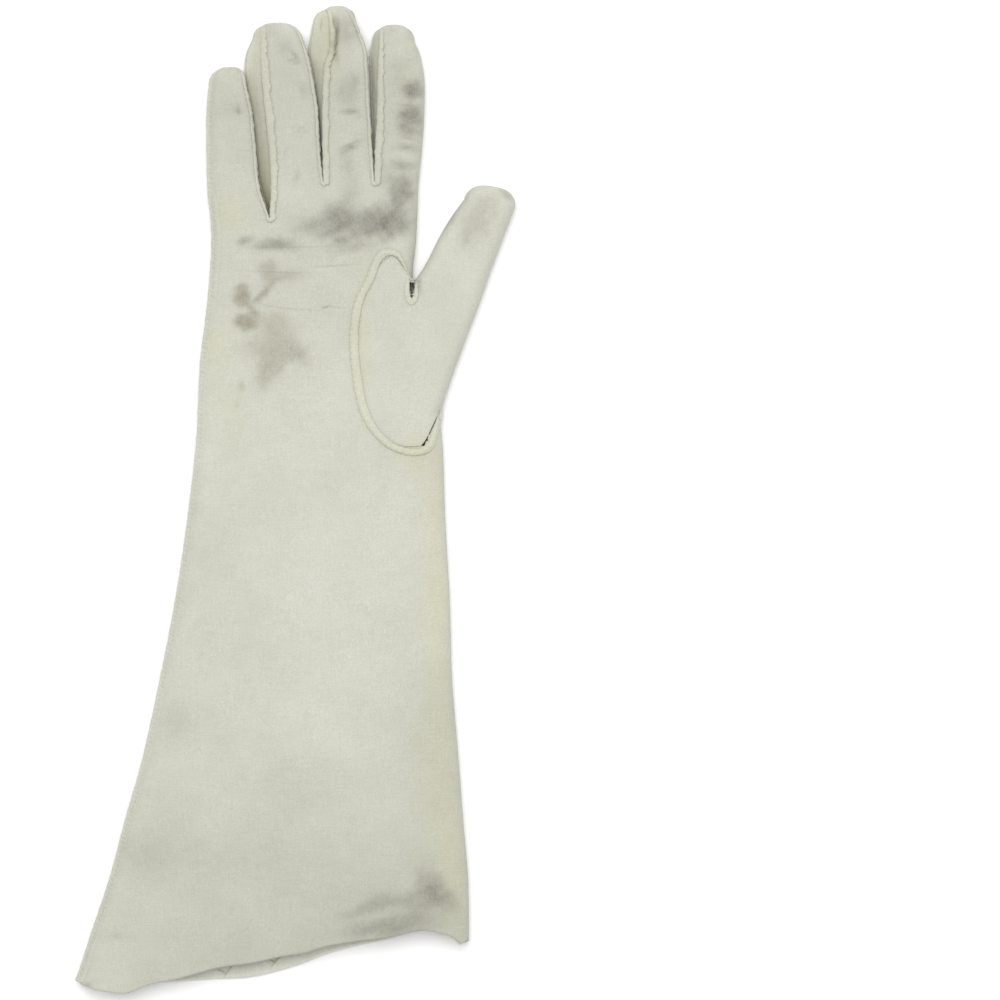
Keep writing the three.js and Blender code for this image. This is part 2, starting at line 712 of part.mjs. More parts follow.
/** The folded strip between two fingers. */
function fourchette(leftFinger, rightFinger) {
  const palm = gapStations(leftFinger, rightFinger, 'palm');
  const back = gapStations(leftFinger, rightFinger, 'back');
  const clear = CLOTH + FOURCHETTE_GAP;
  const rows = palm.slice(1, -1).map((station, i) => {
    const top = station.point.clone().addScaledVector(station.inward, FOURCHETTE_LIP);
    const under = back[i + 1];
    const bottom = under.point.clone().addScaledVector(under.inward, FOURCHETTE_LIP);
    top.z -= clear;
    bottom.z += clear + (station.side === 'foot' ? FOURCHETTE_FOOT_LEAN : 0);
    const slant = bottom.clone().sub(top).setZ(0);
    const lean = (CLOTH * slant.length()) / bottom.distanceTo(top);
    if (slant.dot(station.inward) > 0) top.z -= lean;
    else bottom.z += lean;
    return [top, top.clone().lerp(bottom, 0.5), bottom];
  });
  return new Sheet().addGrid(rows, true).thicken();
}

/** A low ridge on a cloth, over lines of places across it, each a point with its normal. */
function ridge(lines, height) {
  const rings = lines.map((line) => {
    const near = line.map(({ point, normal }) => {
      const steepness = 1 - Math.abs(normal.z);
      return point.clone().addScaledVector(normal, SEAM_GAP + STEEP_GAP * steepness);
    });
    const far = near.map((point, i) => {
      const bulge = 0.5 + 0.5 * Math.sin((Math.PI * (i + 0.5)) / line.length);
      return point.clone().addScaledVector(line[i].normal, height * bulge);
    });
    return [...near, ...far.reverse()];
  });
  return sweep(rings);
}

/** The seam round a gap between fingers, on the palm side. */
function palmSeam(leftFinger, rightFinger, cloth) {
  const widths = { left: NARROW_SEAM, foot: (NARROW_SEAM + WIDE_SEAM) / 2, right: WIDE_SEAM };
  const lines = gapStations(leftFinger, rightFinger, 'palm').map(({ point, inward, side }) =>
    [0, 0.5, 1].map((share) => {
      const place = point.clone().addScaledVector(inward, widths[side] * share);
      return share === 0 ? cloth.at(point) : cloth.surfaceAt(place.x, place.y);
    }),
  );
  return ridge(lines, PALM_SEAM_HEIGHT);
}

/** The seam round a gap between fingers, under the back cloth that rises there. */
function backSeam(leftFinger, rightFinger) {
  const down = new THREE.Vector3(0, 0, -1);
  const lines = gapStations(leftFinger, rightFinger, 'back').map(({ point, inward }) =>
    [1, 0.5, 0].map((share) => {
      const distance = BACK_SEAM_WIDTH * share;
      const place = point.clone().addScaledVector(inward, distance);
      const fade = (1 + Math.cos((Math.PI * distance) / SLOT_LIFT_WIDTH)) / 2;
      return { point: place.setZ(point.z * fade), normal: down };
    }),
  );
  return ridge(lines, BACK_SEAM_HEIGHT);
}

/** Lines across a seam that runs along a path, from its left side to its right side. */
function seamLines(path, width, shares, surfaceAt) {
  return path.map((point, i) => {
    const along = path[Math.min(i + 1, path.length - 1)].clone().sub(path[Math.max(i - 1, 0)]);
    const right = new THREE.Vector3(along.y, -along.x, 0).normalize();
    return shares.map((share) => {
      const place = point.clone().addScaledVector(right, width * share);
      return surfaceAt(place.x, place.y);
    });
  });
}

/** The raised seam round the base of the thumb, from its root round the oval to the fold. */
function thumbSeam(hand, thumb) {
  const end = { x: foldEdge(THUMB_SEAM_END), y: THUMB_SEAM_END };
  const border = [...thumbBorder.left].reverse().concat(thumbBorder.right.slice(0, -1), end);
  const route = new THREE.CatmullRomCurve3(border.map(({ x, y }) => new THREE.Vector3(x, y, 0)));
  const surfaceAt = (x, y) => {
    const place = Math.min(x, foldEdge(y) - SEAM_GAP);
    const found = [hand, thumb].map((sheet) => sheet.surfaceAt(place, y)).filter(Boolean);
    return found.sort((a, b) => b.point.z - a.point.z)[0];
  };
  const shares = [-0.5, -0.25, 0, 0.25, 0.5];
  const path = route.getSpacedPoints(THUMB_SEAM_STEPS);
  return ridge(seamLines(path, THUMB_SEAM_WIDTH, shares, surfaceAt), THUMB_SEAM_HEIGHT);
}

/** The small seam loop round the slit at the root of the thumb. */
function quirkSeam(thumb) {
  const route = new THREE.CatmullRomCurve3(quirkLoop.map(({ x, y }) => new THREE.Vector3(x, y, 0)));
  const surfaceAt = (x, y) => thumb.surfaceAt(x, y);
  const path = route.getSpacedPoints(QUIRK_SEAM_STEPS);
  return ridge(seamLines(path, QUIRK_SEAM_WIDTH, [-0.5, 0, 0.5], surfaceAt), PALM_SEAM_HEIGHT);
}

/** The whip-stitched seam down the side of the hand, from the little finger's tip to the mouth. */
function sideSeam() {
  const little = fingers[0];
  const handSide = handGrids.palm.slice(0, -1).map((row) => row[0]);
  const path = [...handSide, ...little.palm.map((row) => row[0])];
  const rings = path.map((point, i) => {
    const along = path[Math.min(i + 1, path.length - 1)].clone().sub(path[Math.max(i - 1, 0)]);
    const outward = new THREE.Vector3(-along.y, along.x, 0).normalize();
    const centre = point.clone().addScaledVector(outward, GAP + SIDE_SEAM_WIDTH / 2);
    return Array.from({ length: SIDE_SEAM_FACES }, (_, corner) => {
      const angle = (2 * Math.PI * corner) / SIDE_SEAM_FACES;
      const place = centre.clone().addScaledVector(outward, (-Math.cos(angle) * SIDE_SEAM_WIDTH) / 2);
      return place.setZ(point.z + (Math.sin(angle) * SIDE_SEAM_HEIGHT) / 2);
    });
  });
  return sweep(rings);
}

/** The cloth turned in at the mouth, inside the palm and the back. */
function hem(hand) {
  const inner = hand.inset(CLOTH + GAP);
  const row = (layer, i) => handGrids[layer][i].map((point) => inner[hand.indexOf(point)]);
  const rows = (layer) => [0, 1, 2].map((i) => row(layer, i));
  return new Sheet().addGrid(rows('palm')).addGrid(rows('back'), true).thicken();
}

// Assembly

const glove = new THREE.Group();

/** Adds one piece of the glove. */
function addPiece(name, geometry, colour) {
  const material = new THREE.MeshStandardMaterial({ color: colour, roughness: ROUGHNESS, metalness: 0 });
  const mesh = new THREE.Mesh(geometry, material);
  mesh.name = name;
  glove.add(mesh);
}

/** Flat outline of the slit at the thumb's root, pointed at its foot and narrower at its top. */
function slitOutline() {
  const { x, top, foot, width } = quirkSlit;
  return [
    { x: x - width / 2, y: foot + width / 2 },
    { x, y: foot },
    { x: x + width / 2, y: foot + width / 2 },
    { x: x + width / 4, y: top },
    { x: x - width / 4, y: top },
  ];
}

const hand = trankSheet();
const thumb = thumbSheet();
const hole = prism(thumbHole(), LIP_CUT, CLEAR_HEIGHT);
const slit = prism(slitOutline(), LIP_CUT, CLEAR_HEIGHT);

addPiece('trank', fromSolid(toSolid(hand.thicken()).subtract(hole)), COLOURS.cloth);
addPiece('thumb', fromSolid(toSolid(thumb.thicken()).subtract(slit)), COLOURS.cloth);
addPiece('thumb_seam', thumbSeam(hand, thumb), COLOURS.seam);
addPiece('quirk_seam', quirkSeam(thumb), COLOURS.seam);
addPiece('side_seam', sideSeam(), COLOURS.seam);
addPiece('hem', hem(hand), COLOURS.hem);
for (let i = 1; i < fingers.length; i += 1) {
  const [left, right] = [fingers[i - 1], fingers[i]];
  const gap = `${left.name}_${right.name}`;
  addPiece(`fourchette_${gap}`, fourchette(left, right), COLOURS.fourchette);
  addPiece(`palm_seam_${gap}`, palmSeam(left, right, hand), COLOURS.seam);
  addPiece(`back_seam_${gap}`, backSeam(left, right), COLOURS.seam);
}

export default glove;
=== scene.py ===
"""A long cotton dress glove for the right hand, lying flat with its palm up.

Shapes are worked out in millimetres: +X from the little finger to the thumb, +Y to the fingertips and
+Z out of the palm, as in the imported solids. Meshes hold metres.
"""

import logging
from dataclasses import dataclass, field
from enum import Enum

import bmesh
import bpy
import numpy as np
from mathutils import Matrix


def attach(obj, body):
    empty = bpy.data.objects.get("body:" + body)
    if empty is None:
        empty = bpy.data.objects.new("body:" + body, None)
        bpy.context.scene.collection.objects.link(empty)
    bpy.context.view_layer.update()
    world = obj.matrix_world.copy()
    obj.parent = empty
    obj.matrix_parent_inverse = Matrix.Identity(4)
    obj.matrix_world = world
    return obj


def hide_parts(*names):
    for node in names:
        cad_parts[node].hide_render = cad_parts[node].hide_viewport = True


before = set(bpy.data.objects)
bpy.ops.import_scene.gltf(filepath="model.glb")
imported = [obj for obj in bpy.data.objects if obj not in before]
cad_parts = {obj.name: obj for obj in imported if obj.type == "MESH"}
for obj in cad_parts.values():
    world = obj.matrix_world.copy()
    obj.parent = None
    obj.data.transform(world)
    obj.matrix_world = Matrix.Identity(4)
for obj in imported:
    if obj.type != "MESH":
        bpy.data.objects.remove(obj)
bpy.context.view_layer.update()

Array = np.ndarray
Number = Array | float
Rows = tuple[tuple[float, ...], ...]
Pair = tuple[float, float]
Wave = tuple[float, float, float]
Colour = tuple[float, float, float]
Piece = bpy.types.Object
Node = bpy.types.Node
Socket = bpy.types.NodeSocket

LOG = logging.getLogger("glove")
MM = 0.001
UP = np.array([0.0, 0.0, 1.0])
TINY = 1e-9
MERGE_REACH = 2e-6
WANDER_WAVES = ((1.0, 1.0), (0.618, 2.4), (1.77, 4.1))
PILLOW_POWER = 2.3
THREAD_SIDES = 6
TIP_FULLNESS = 0.72
TIP_FLATTENING = 0.8
# How far the hidden side of a seam lies in the cloth.
SINK = 0.3


class Layer(Enum):
    """One of the two layers of the folded cloth."""

    PALM = "palm"
    BACK = "back"


class Side(Enum):
    """One of the two long edges of a finger."""

    LEFT = "left"
    RIGHT = "right"


# Curves


def lerp(start: Number, end: Number, share: Number) -> Number:
    """A value at a share of the way between two others."""
    return start + (end - start) * share


def smooth(share: Number) -> Array:
    """Rises from 0 to 1 with no corner: three times the square less twice the cube."""
    held = np.clip(share, 0.0, 1.0)
    return held * held * (3.0 - 2.0 * held)


def rounded(share: Number) -> Array:
    """Rises from 0 at an edge to 1, as a quarter circle does."""
    return np.sqrt(np.clip(1.0 - (1.0 - np.clip(share, 0.0, 1.0)) ** 2, 0.0, 1.0))


def arched(share: Array, width: Array, left: Number, right: Number) -> Array:
    """Rises from 0 at both edges of a width to 1 inside, as quarter circles of a left and a right radius."""
    return rounded(share * width / left) * rounded((1 - share) * width / right)


def pillow(share: Array) -> Array:
    """Height of a soft band across its width: a flattened half circle of the share across."""
    return np.clip(1 - np.abs(2 * share - 1) ** PILLOW_POWER, 0, 1) ** (1 / PILLOW_POWER)


def ridge(share: Array, place: float, width: float) -> Array:
    """A narrow ridge across a band: e to minus the squared distance from a share, over a width."""
    return np.exp(-(((share - place) / width) ** 2))


def edge_weighted(count: int, weight: float) -> Array:
    """Shares from 0 to 1 that lie closer together at both ends: t less a share of one sine wave."""
    t = np.linspace(0.0, 1.0, count)
    return t - weight * np.sin(2.0 * np.pi * t) / (2.0 * np.pi)


def wander(distance: Array, pitch: float, seed: float) -> Array:
    """An uneven wave along a seam, from -1 to 1: the mean of three sines of unlike lengths."""
    turns = 2.0 * np.pi * np.asarray(distance) / pitch
    return sum(np.sin(rate * turns + start * seed) for rate, start in WANDER_WAVES) / 3.0


def waver(distance: Array, waves: Rows) -> Array:
    """1 with uneven waves along a seam, from rows of height, pitch and seed."""
    return sum((height * wander(distance, pitch, seed) for height, pitch, seed in waves), 1.0)


def faded_ends(distance: Array, reach: float) -> Array:
    """1 along a seam, and softly down to 0 over a reach at both its ends, n by 1."""
    return smooth(np.minimum(distance, distance[-1] - distance) / reach)[:, None]


class Curve:
    """A smooth curve through a table's columns, read against a rising key."""

    def __init__(self, keys: Array, values: Array) -> None:
        """Works out the slope at each row from the rows beside it.

        Args:
            keys: rising keys, one a row.
            values: one number or one row of numbers for each key.
        """
        self.keys = np.asarray(keys, float)
        self.values = np.asarray(values, float)
        at = np.arange(len(self.keys))
        before, after = np.maximum(at - 1, 0), np.minimum(at + 1, len(at) - 1)
        spans = self.keys[after] - self.keys[before]
        self.slopes = (self.values[after] - self.values[before]) / self._column(spans)

    def _column(self, numbers: Array) -> Array:
        """Numbers shaped to go with the values, which may be rows."""
        return numbers[..., None] if self.values.ndim == 2 else numbers

    def __call__(self, at: Number) -> Array:
        """The cubic between the two rows beside each key, with their slopes.

        Args:
            at: keys to read the curve at.

        Returns:
            The values there, held at both ends.
        """
        held = np.clip(np.asarray(at, float), self.keys[0], self.keys[-1])
        after = np.clip(np.searchsorted(self.keys, held), 1, len(self.keys) - 1)
        before = after - 1
        span = self._column(self.keys[after] - self.keys[before])
        t = self._column(held - self.keys[before]) / span
        low, high = self.values[before], self.values[after]
        chord = (high - low) / span
        bend = (1 - t) * self.slopes[before] - t * self.slopes[after] + (2 * t - 1) * chord
        return low + (high - low) * t + t * (1 - t) * span * bend


# Grids and paths


def grid_normals(points: Array) -> Array:
    """Outward unit normals of a grid whose rows run up and lanes run right: lane slope cross row slope."""
    normals = np.cross(np.gradient(points, axis=1), np.gradient(points, axis=0))
    return normals / np.maximum(np.linalg.norm(normals, axis=-1, keepdims=True), TINY)


def grid_lengths(points: Array) -> Array:
    """Distance from the first lane along each row, as the sum of its steps."""
    steps = np.linalg.norm(np.diff(points, axis=1), axis=-1)
    return np.concatenate([np.zeros((len(points), 1)), np.cumsum(steps, axis=1)], axis=1)


def path_lengths(path: Array) -> Array:
    """Distance from the start of a path to each of its points."""
    return grid_lengths(path[None, :, :])[0]


def headings(path: Array, axis: int = 0) -> Array:
    """Unit vectors along a path: its slopes over their lengths."""
    along = np.gradient(path, axis=axis)
    return along / np.maximum(np.linalg.norm(along, axis=-1, keepdims=True), TINY)


def right_of(path: Array) -> Array:
    """Unit vectors to the right of a flat path's heading, n by 2."""
    along = headings(path)
    return np.stack([along[:, 1], -along[:, 0]], axis=-1)


def left_of(path: Array) -> Array:
    """Level vectors to the left of a path's heading, n by 3."""
    along = headings(path)
    return np.stack([-along[:, 1], along[:, 0], along[:, 0] * 0], axis=-1)


def read_rows(grid: Array, rows: Array, lanes: Array) -> Array:
    """A grid read between its rows: the mix of the two rows beside each number.

    Args:
        grid: places, rows by lanes by 3.
        rows: row numbers with fractions, any shape.
        lanes: whole lane numbers that go with them.

    Returns:
        Places, shaped as rows by 3.
    """
    held = np.clip(rows, 0, len(grid) - 1.001)
    low = held.astype(int)
    part = (held - low)[..., None]
    return grid[low, lanes] * (1 - part) + grid[low + 1, lanes] * part


def outline_distance(x: Array, y: Array, outline: Array) -> tuple[Array, Array, Array]:
    """Where places stand to a closed flat outline, by its nearest side and by crossings of its sides.

    Args:
        x: places across, any shape.
        y: places along, the same shape.
        outline: corners, n by 2.

    Returns:
        The distance to the outline, the nearest point on it, and whether each place is inside.
    """
    starts, ends = outline, np.roll(outline, -1, axis=0)
    sides = ends - starts
    places = np.stack([x, y], axis=-1)[..., None, :]
    share = ((places - starts) * sides).sum(-1) / (sides**2).sum(-1)
    nearest = starts + np.clip(share, 0, 1)[..., None] * sides
    distances = np.linalg.norm(places - nearest, axis=-1)
    best = distances.argmin(-1)
    distance = np.take_along_axis(distances, best[..., None], -1)[..., 0]
    chosen = np.take_along_axis(nearest, best[..., None, None], -2)[..., 0, :]
    above = (starts[:, 1] > y[..., None]) != (ends[:, 1] > y[..., None])
    rise = np.where(sides[:, 1] == 0, TINY, sides[:, 1])
    crossing = starts[:, 0] + (y[..., None] - starts[:, 1]) * sides[:, 0] / rise
    inside = (above & (x[..., None] < crossing)).sum(-1) % 2 == 1
    return distance, chosen, inside


def snap_to(grid: Array, outline: Array, reach: float) -> tuple[Array, Array]:
    """Moves a grid's points near an outline onto it, and says which faces lie outside it.

    Args:
        grid: places, rows by lanes by 3.
        outline: corners of the hole, n by 2.
        reach: how near a point is moved, in millimetres.

    Returns:
        The moved grid, and which faces stay.
    """
    distance, nearest, _ = outline_distance(grid[..., 0], grid[..., 1], outline)
    moved = grid.copy()
    near = distance < reach
    moved[near, :2] = nearest[near]
    centres = (moved[:-1, :-1] + moved[1:, :-1] + moved[:-1, 1:] + moved[1:, 1:]) / 4
    _, _, inside = outline_distance(centres[..., 0], centres[..., 1], outline)
    return moved, ~inside


def drape(x: Array, y: Array, grid: Array) -> Array:
    """Height of a grid over each place: the mix of the corners of the triangle that holds it.

    Args:
        x: places across, any shape.
        y: places along, the same shape.
        grid: places, rows by lanes by 3.

    Returns:
        The greatest height over each place, or minus infinity beside the grid.
    """
    a, b, c, d = grid[:-1, :-1], grid[:-1, 1:], grid[1:, 1:], grid[1:, :-1]
    halves = [np.stack([a, b, c], axis=2), np.stack([a, c, d], axis=2)]
    corners = np.concatenate([half.reshape(-1, 3, 3) for half in halves])
    p, q, r = corners[:, 0], corners[:, 1], corners[:, 2]
    area = (q[:, 0] - p[:, 0]) * (r[:, 1] - p[:, 1]) - (r[:, 0] - p[:, 0]) * (q[:, 1] - p[:, 1])
    area = np.where(np.abs(area) < TINY, np.inf, area)
    u, v = x[..., None], y[..., None]
    s = ((u - p[:, 0]) * (r[:, 1] - p[:, 1]) - (r[:, 0] - p[:, 0]) * (v - p[:, 1])) / area
    t = ((q[:, 0] - p[:, 0]) * (v - p[:, 1]) - (u - p[:, 0]) * (q[:, 1] - p[:, 1])) / area
    height = p[:, 2] + s * (q[:, 2] - p[:, 2]) + t * (r[:, 2] - p[:, 2])
    holds = (s > -1e-6) & (t > -1e-6) & (s + t < 1 + 1e-6) & np.isfinite(area)
    return np.where(holds, height, -np.inf).max(axis=-1)


# Meshes


def grid_quads(index: Array) -> Array:
    """Quads of a grid of corner numbers, m by 4."""
    return np.stack([index[:-1, :-1], index[:-1, 1:], index[1:, 1:], index[1:, :-1]], axis=-1).reshape(-1, 4)


def mesh_object(
    name: str, points: Array, quads: Array, corners: Array | None = None, closed: bool = False
) -> Piece:
    """A smooth mesh object from arrays, with doubles and unused points taken out.

    Args:
        name: the piece's name.
        points: places in millimetres, n by 3.
        quads: corner numbers, m by 4. Corners at one place become a triangle.
        corners: flat map of each corner in metres, m by 4 by 2.
        closed: True for a closed mesh, whose faces are turned outwards.

    Returns:
        The new object, in the scene.
    """
    mesh = bpy.data.meshes.new(name)
    mesh.from_pydata(points * MM, [], quads.tolist())
    if corners is not None:
        layer = mesh.uv_layers.new(name="cloth_map")
        layer.data.foreach_set("uv", corners.astype(np.float32).ravel())
    work = bmesh.new()
    work.from_mesh(mesh)
    bmesh.ops.remove_doubles(work, verts=work.verts, dist=MERGE_REACH)
    loose = [vertex for vertex in work.verts if not vertex.link_faces]
    bmesh.ops.delete(work, geom=loose, context="VERTS")
    if closed:
        bmesh.ops.recalc_face_normals(work, faces=work.faces)
    work.to_mesh(mesh)
    work.free()
    mesh.validate()
    mesh.polygons.foreach_set("use_smooth", np.ones(len(mesh.polygons), bool))
    made = bpy.data.objects.new(name, mesh)
    bpy.context.scene.collection.objects.link(made)
    return made


@dataclass
class Sheet:
    """One layer of cloth, made of grids that share their edges."""

    points: list[Array] = field(default_factory=list)
    quads: list[Array] = field(default_factory=list)
    corners: list[Array] = field(default_factory=list)
    count: int = 0

    def add(self, grid: Array, flipped: bool = False, keep: Array | None = None) -> "Sheet":
        """Adds a grid, with a flat map whose u is the length across and whose v is y.

        Args:
            grid: places, rows by lanes by 3. Seen from outside, rows run up and lanes run right.
            flipped: True where the lanes run left as seen from outside.
            keep: which faces stay, rows by lanes less one each.

        Returns:
            The sheet itself.
        """
        rows, lanes = grid.shape[:2]
        quads = grid_quads(np.arange(rows * lanes).reshape(rows, lanes))
        across = grid_lengths(grid)
        middle = lanes // 2
        across += grid[:, middle, 0:1] - across[:, middle : middle + 1]
        flat = np.stack([across, grid[..., 1]], axis=-1).reshape(-1, 2)
        if flipped:
            quads = quads[:, ::-1]
        if keep is not None:
            quads = quads[keep.ravel()]
        self.points.append(grid.reshape(-1, 3))
        self.quads.append(quads + self.count)
        self.corners.append(flat[quads])
        self.count += rows * lanes
        return self

    def build(self, name: str, thickness: float) -> Piece:
        """The sheet as an object, with a wall that grows inwards from its outer side.

        Args:
            name: the piece's name.
            thickness: of the cloth, in millimetres.

        Returns:
            The new object, with a UV map in metres.
        """
        corners = np.concatenate(self.corners) * MM
        made = mesh_object(name, np.concatenate(self.points), np.concatenate(self.quads), corners)
        wall = made.modifiers.new("cloth_thickness", "SOLIDIFY")
        wall.thickness = thickness * MM
        wall.offset = -1.0
        return made


def closed_strip(name: str, top: Array, bottom: Array) -> Piece:
    """A closed solid between two grids of one size, as a seam or a folded edge of cloth.

    Args:
        name: the piece's name.
        top: places of the outer side, stations by lanes by 3.
        bottom: places of the hidden side, of the same shape.

    Returns:
        The new object, with a flat map across and along it in metres.
    """
    stations, lanes = top.shape[:2]
    index = np.arange(stations * lanes).reshape(stations, lanes)
    low = index + index.size
    rims = ((low[0], index[0]), (index[-1], low[-1]), (index[:, 0], low[:, 0]), (low[:, -1], index[:, -1]))
    walls = [grid_quads(np.array(rim)) for rim in rims]
    quads = np.concatenate([grid_quads(index), grid_quads(low)[:, ::-1], *walls])
    along = np.repeat(path_lengths(top[:, lanes // 2])[:, None], lanes, axis=1)
    flat = np.stack([grid_lengths(top), along], axis=-1).reshape(-1, 2)
    points = np.concatenate([top.reshape(-1, 3), bottom.reshape(-1, 3)])
    return mesh_object(name, points, quads, np.concatenate([flat, flat])[quads] * MM, closed=True)


def threads(name: str, paths: Array, radius: float) -> Piece:
    """Many short threads as one mesh: a round section carried along each path, closed to a point.

    Args:
        name: the piece's name.
        paths: places, threads by steps by 3.
        radius: of a thread, in millimetres.

    Returns:
        The new object.
    """
    count, steps = paths.shape[:2]
    along = headings(paths, axis=1)
    first = np.cross(along, np.broadcast_to([0.31, 0.17, 0.93], along.shape))
    first /= np.linalg.norm(first, axis=-1, keepdims=True)
    second = np.cross(along, first)
    taper = np.clip(np.sin(np.pi * np.linspace(0, 1, steps)) * 2.2, 0, 1) ** 0.5
    angles = 2 * np.pi * np.arange(THREAD_SIDES) / THREAD_SIDES
    ring = first[:, :, None] * np.cos(angles)[:, None] + second[:, :, None] * np.sin(angles)[:, None]
    tube = paths[:, :, None] + ring * (radius * taper)[None, :, None, None]
    index = np.arange(tube.size // 3).reshape(count, steps, THREAD_SIDES)
    turned = np.roll(index, -1, axis=2)
    quads = np.stack([index[:, :-1], turned[:, :-1], turned[:, 1:], index[:, 1:]], axis=-1)
    return mesh_object(name, tube.reshape(-1, 3), quads.reshape(-1, 4), closed=True)


# The shape of the hand


@dataclass(frozen=True)
class Oval:
    """A soft oval on the palm, for a ridge or dent of the cloth or for a stain.

    It has a centre and half sizes in millimetres, a height or strength, and a turn in degrees. Its
    edge is soft at a sharpness of 1 and clearer above it.
    """

    x: float
    y: float
    reach_x: float
    reach_y: float
    strength: float
    turn: float = 0.0
    sharpness: float = 1.0

    def at(self, x: Array, y: Array) -> Array:
        """The strength at each place: e to minus a power of the squared distance in its own frame.

        Args:
            x: places across.
            y: places along.

        Returns:
            Strengths, shaped as the places.
        """
        turn = np.radians(self.turn)
        dx, dy = x - self.x, y - self.y
        along = (dx * np.cos(turn) + dy * np.sin(turn)) / self.reach_x
        across = (dy * np.cos(turn) - dx * np.sin(turn)) / self.reach_y
        return self.strength * np.exp(-((along**2 + across**2) ** self.sharpness))


@dataclass(frozen=True)
class Ripple:
    """A long shallow wave of the cloth: wavelength, heading and phase in degrees, and height."""

    wave: float
    heading: float
    phase: float
    height: float

    def at(self, x: Array, y: Array) -> Array:
        """Height of the wave at each place: a sine of the distance along its heading."""
        along = x * np.cos(np.radians(self.heading)) + y * np.sin(np.radians(self.heading))
        return self.height * np.sin(2 * np.pi * along / self.wave + np.radians(self.phase))


